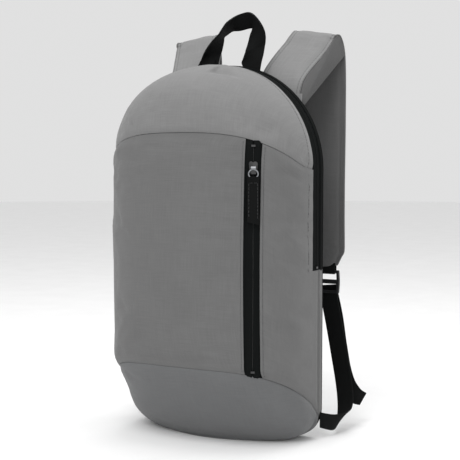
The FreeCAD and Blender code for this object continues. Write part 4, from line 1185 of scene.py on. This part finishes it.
def strap_frame(v, side):
    """Middle, width direction, outward direction and half width of a strap at a share of its length."""
    x, y, z, slope, share = between(STRAP, v)
    ahead, behind = between(STRAP, v + 0.004), between(STRAP, v - 0.004)
    along = Vector([a - b for a, b in zip(ahead[:3], behind[:3])]).normalized()
    across = Vector((1, 0, slope)).normalized()
    across = (across - along * across.dot(along)).normalized()
    out = across.cross(along)
    middle = Vector((side * x, y, z)) * MM
    return (middle, Vector((across.x, side * across.y, side * across.z)),
            Vector((side * out.x, out.y, out.z)),
            STRAP_WIDTH / 2 * share)


FLANGE, CROWN, FLANGE_SHARE = 1.0 * MM, 1.8 * MM, 0.76


def strap_height(u):
    inside = max(1 - (abs(u) / FLANGE_SHARE) ** 4, 0)
    groove = 0.25 * MM * (math.exp(-((abs(u) - 0.93) / 0.02) ** 2) + math.exp(-((abs(u) - 0.80) / 0.02) ** 2))
    return FLANGE + CROWN * inside ** 0.7 - groove


def crease(u, v, face, side):
    """Waves across the strap where it folds, and longer ones near its tip."""
    fold = math.exp(-((v - 0.40) / 0.09) ** 2) * (1.9 if face < 0 else 0.4)
    tip = 1.1 * math.exp(-((v - 0.90) / 0.05) ** 2)
    wave = (noise.noise(Vector((u * 0.8 + side * 3, v * 46, face)))
            + 0.5 * noise.noise(Vector((u * 2.5, v * 90, side))))
    broad = 0.5 * noise.noise(Vector((u * 1.1, v * 9, side * 7 + face)))
    return (wave * (fold + tip) + broad * 0.7) * MM * (1 - abs(u) ** 3)


def strap_point(u, v, face, side, lift=0.0):
    middle, across, out, half = strap_frame(v, side)
    sag = 0.9 * MM * u * u * math.sin(math.pi * v)
    height = strap_height(u) + crease(u, v, face, side) + lift
    return middle + across * half * u + out * (face * height - sag)


RIM = 0.985


def strap_place(side):
    def place(u, v):
        if u < 0.46:
            return strap_point(RIM * (1 - 2 * u / 0.46), v, 1, side)
        if u < 0.5:
            return strap_point(-1, v, 1 - (u - 0.46) / 0.02, side, -0.1 * MM)
        if u < 0.96:
            return strap_point(-RIM * (1 - 2 * (u - 0.5) / 0.46), v, -1, side)
        return strap_point(1, v, -1 + (u - 0.96) / 0.02, side, -0.1 * MM)
    return place


def bend_with_swing(piece):
    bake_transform(piece)


for name, side in (("left", -1), ("right", 1)):
    made = grid(100, 210, strap_place(side), closed=True)
    ends = [e for e in made.edges if e.is_boundary]
    bmesh.ops.holes_fill(made, edges=ends, sides=0)
    bmesh.ops.recalc_face_normals(made, faces=made.faces)
    frames = [strap_frame(i / 200, side) for i in range(201)]
    # The outside's lighter grey is painted light, and the lining's darker grey is painted shade.
    for face in made.faces:                      # the outside gets the cloth, the inside the lining
        centre = face.calc_center_median()
        nearest = min(frames, key=lambda f: (f[0] - centre).length_squared)
        face.material_index = 0 if (centre - nearest[0]).dot(nearest[2]) > 0 else 1
        face.smooth = True
    data = bpy.data.meshes.new(f"shoulder_strap_{name}")
    made.to_mesh(data)
    made.free()
    for material in (strap_cloth, strap_lining_painted_shade):
        data.materials.append(material)
    strap = bpy.data.objects.new(f"shoulder_strap_{name}", data)
    scene.collection.objects.link(strap)
    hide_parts(f"strap_end_{name}", f"strap_face_{name}", f"strap_foam_{name}",
                f"strap_lining_{name}")
    bend_with_swing(strap)
    print("strap", name, len(data.polygons), "faces")

# %% [markdown]
# The two rows of stitches along each edge of a strap go through all its layers, so both faces show them.
# They are built on the same strap surface. A box of stitches holds the band that the straps start from.

# %% Strap stitches
for name, side in (("left", -1), ("right", 1)):
    rows = [[strap_point(u, 0.05 + 0.93 * i / 300, face, side, 0.05 * MM) for i in range(301)]
            for face in (1, -1) for u in (-0.93, -0.80, 0.80, 0.93)]
    seam = stitches(f"strap_stitches_{name}", rows, sewing_thread, None, "strap_cloth")
    bend_with_swing(seam)

band_low, band_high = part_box("anchor_band")


def band_place(u, v):
    x = band_low.x + (band_high.x - band_low.x) * u
    z = band_low.z + (band_high.z - band_low.z) * v
    hem = 0.35 * MM * math.exp(-(min(v, 1 - v) / 0.12) ** 2)
    return Vector((x, band_high.y - 0.3 * MM + hem + 0.2 * MM * noise.noise(Vector((x * 50, z * 60, 1))), z))


# The band has the strap face's lighter grey: painted light.
strap_band = as_object("strap_band", grid(80, 16, band_place), [strap_cloth], "pack", "anchor_band",
                       slot="strap_cloth")
thicken(strap_band, 0.9 * MM, 0.3 * MM, 0.0)
band_rows = [[Vector((band_low.x + 3 * MM + (band_high.x - band_low.x - 6 * MM) * i / 60,
                      band_high.y + 0.35 * MM, z))
              for i in range(61)] for z in (band_low.z + 2.5 * MM, band_high.z - 2.5 * MM)]
stitches("strap_band_stitches", band_rows, sewing_thread, "pack", "strap_cloth")

# %% [markdown]
# ## Ladder locks
# A ladder lock is a moulded frame with crossbars: the strap's loop holds the top bar, and the webbing goes
# over the middle one and back out. It starts as a flat grid whose windows are left out, gets its
# thickness, and is bevelled all round, as a moulded part is.

# %% Locks and their loops
lock_low, lock_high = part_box("ladder_lock_right")
LOCK_BARS = [0, 3.2, 10.6, 15.4, 22.6, 26]       # heights of the bars' edges
LOCK_RAILS = [-14, -10.9, 10.9, 14]


def make_lock(name, side):
    made = bmesh.new()
    bmesh.ops.create_grid(made, x_segments=3, y_segments=5, size=0.5)
    columns = sorted({round(v.co.x, 4) for v in made.verts})
    levels = sorted({round(v.co.y, 4) for v in made.verts})
    for vert in made.verts:
        x = LOCK_RAILS[columns.index(round(vert.co.x, 4))]
        z = LOCK_BARS[levels.index(round(vert.co.y, 4))]
        flare = 1 + 0.06 * math.sin(math.pi * z / 26)
        vert.co = Vector((x * MM * flare, 0, z * MM))
    windows = [f for f in made.faces if abs(f.calc_center_median().x) < 5 * MM
               and (3.2 * MM < f.calc_center_median().z < 10.6 * MM
                    or 15.4 * MM < f.calc_center_median().z < 22.6 * MM)]
    bmesh.ops.delete(made, geom=windows, context="FACES")
    bmesh.ops.recalc_face_normals(made, faces=made.faces)
    bmesh.ops.solidify(made, geom=made.faces[:], thickness=3.4 * MM)
    lift = sum(v.co.y for v in made.verts) / len(made.verts)
    for vert in made.verts:
        vert.co.y -= lift
        if 10 * MM < vert.co.z < 16 * MM and abs(vert.co.x) < 11.5 * MM:
            vert.co.y += 0.6 * MM                # the middle bar stands a little behind the others
    bmesh.ops.recalc_face_normals(made, faces=made.faces)
    sharp = [e for e in made.edges if len(e.link_faces) == 2 and e.calc_face_angle() > math.radians(40)]
    bmesh.ops.bevel(made, geom=sharp, offset=0.7 * MM, segments=3, profile=0.5, affect="EDGES", material=-1,
                    clamp_overlap=True)
    place = Matrix.Translation(Vector((side * (lock_low.x + lock_high.x) / 2, (lock_low.y + lock_high.y) / 2,
                                       lock_low.z)))
    finish_metal(f"lock_frame_{name}", made, place, buckle_plastic, f"strap_{name}", f"ladder_lock_{name}",
                 slot="buckle_plastic")


loop_low, loop_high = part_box("lock_loop_right")
LOOP = [(-1.2, 12), (-2.0, 8), (-2.6, 5), (-2.7, 2.6), (-2.2, 0.9), (-1.1, 0.15), (0, 0), (1.1, 0.15),
        (2.2, 0.9),
        (2.7, 2.6), (2.6, 5), (2.0, 8), (1.2, 12)]


def ribbon(name, place, columns, rows, material, body, node, slot, thickness=1.4 * MM):
    """Webbing: a narrow grid, given its thickness and rounded edges."""
    piece = as_object(name, grid(columns, rows, place), [material], body, node, slot=slot)
    thicken(piece, thickness, 0.35 * MM, 0.0)
    print(name, len(piece.data.polygons), "faces")
    return piece


def loop_place(side):
    def place(u, v):
        y, z = between(LOOP, v)
        x = ((loop_low.x + loop_high.x) / 2 + (u - 0.5) * (loop_high.x - loop_low.x)
             * (0.94 + 0.06 * math.cos(v * 6.3)))
        return Vector((side * x, (loop_low.y + loop_high.y) / 2 + y * MM, loop_low.z + 0.7 * MM + z * MM))
    return place


# %% Lower webbing and tails
LOWER = [  # x, y, z, width direction x, y, z, share of the width
    (111.2, 27.4, 21, 0, 0, 1, 0.85), (113.6, 31, 19.5, 0, 0, 1, 0.86), (115.4, 36, 17.8, 0.05, 0, 1, 0.87),
    (118.5, 47.4, 15, 0.2, 0, 1, 0.9), (120.3, 60.4, 15.2, 0.55, 0, 0.9, 0.95),
    (119.5, 73.4, 21, 0.9, 0, 0.6, 1),
    (116, 84, 33.5, 1, 0, 0.4, 1), (110, 91.2, 55, 1, 0, 0.3, 1), (103.2, 95.2, 82, 1, 0, 0.25, 1),
    (95.2, 98, 115, 1, 0, 0.22, 1), (89.2, 99.5, 140, 1, 0, 0.2, 1), (87.4, 99.8, 152, 1, 0, 0.14, 1)]
TAIL = [
    (86.6, 101.6, 158, 1, 0, 0.1, 1), (87.2, 104.2, 148.5, 1, 0, 0.12, 1), (93.2, 105, 119, 1, 0.1, 0.22, 1),
    (98.2, 105.4, 89, 1, 0, 0.25, 1), (102.4, 106.2, 63, 1, 0.15, 0.32, 1), (108, 108, 44, 1, 0.5, 0.6, 1),
    (117, 110, 33, 0.4, 1, 0.9, 1), (126, 111, 29.5, 0.1, 1, 0.7, 0.92)]
WEB_WIDTH = 20 * MM


def webbing_place(route, side, wave):
    def place(u, v):
        x, y, z, ax, ay, az, share = between(route, v)
        across = Vector((ax, side * ay, side * az)).normalized()
        point = Vector((side * x, y, z)) * MM + across * (u - 0.5) * WEB_WIDTH * share
        return point + Vector((0, 0.5 * MM * noise.noise(Vector((v * wave, u, side))), 0))
    return place


for name, side in (("left", -1), ("right", 1)):
    make_lock(name, side)
    ribbon(f"loop_webbing_{name}", loop_place(side), 10, 60, webbing, f"strap_{name}", f"lock_loop_{name}",
           "black_webbing")
    ribbon(f"side_webbing_{name}", webbing_place(LOWER, side, 9), 10, 130, webbing, f"strap_{name}",
           f"lower_webbing_{name}", "black_webbing")
    ribbon(f"tail_webbing_{name}", webbing_place(TAIL, side, 7), 10, 110, webbing, f"tail_{name}",
           f"webbing_tail_{name}", "black_webbing")

# %% [markdown]
# ## The hidden pieces
# The linings, the foam and the small crimped stops keep the frame's own shapes, because
# they are inside the bag or a few millimetres small. They only need their materials.

# %% Materials for the frame's own pieces
INSIDE = {"pocket_lining": lining, "back_lining": lining, "back_foam": foam,
          "main_zip_stops": black_enamel, "pocket_zip_stops": black_enamel}
for node, material in INSIDE.items():
    shell = bpy.data.objects[node]
    for place in shell.material_slots:
        place.material = material
print(len(INSIDE), "frame pieces have their materials")

# %% A last update of the scene
bpy.context.view_layer.update()
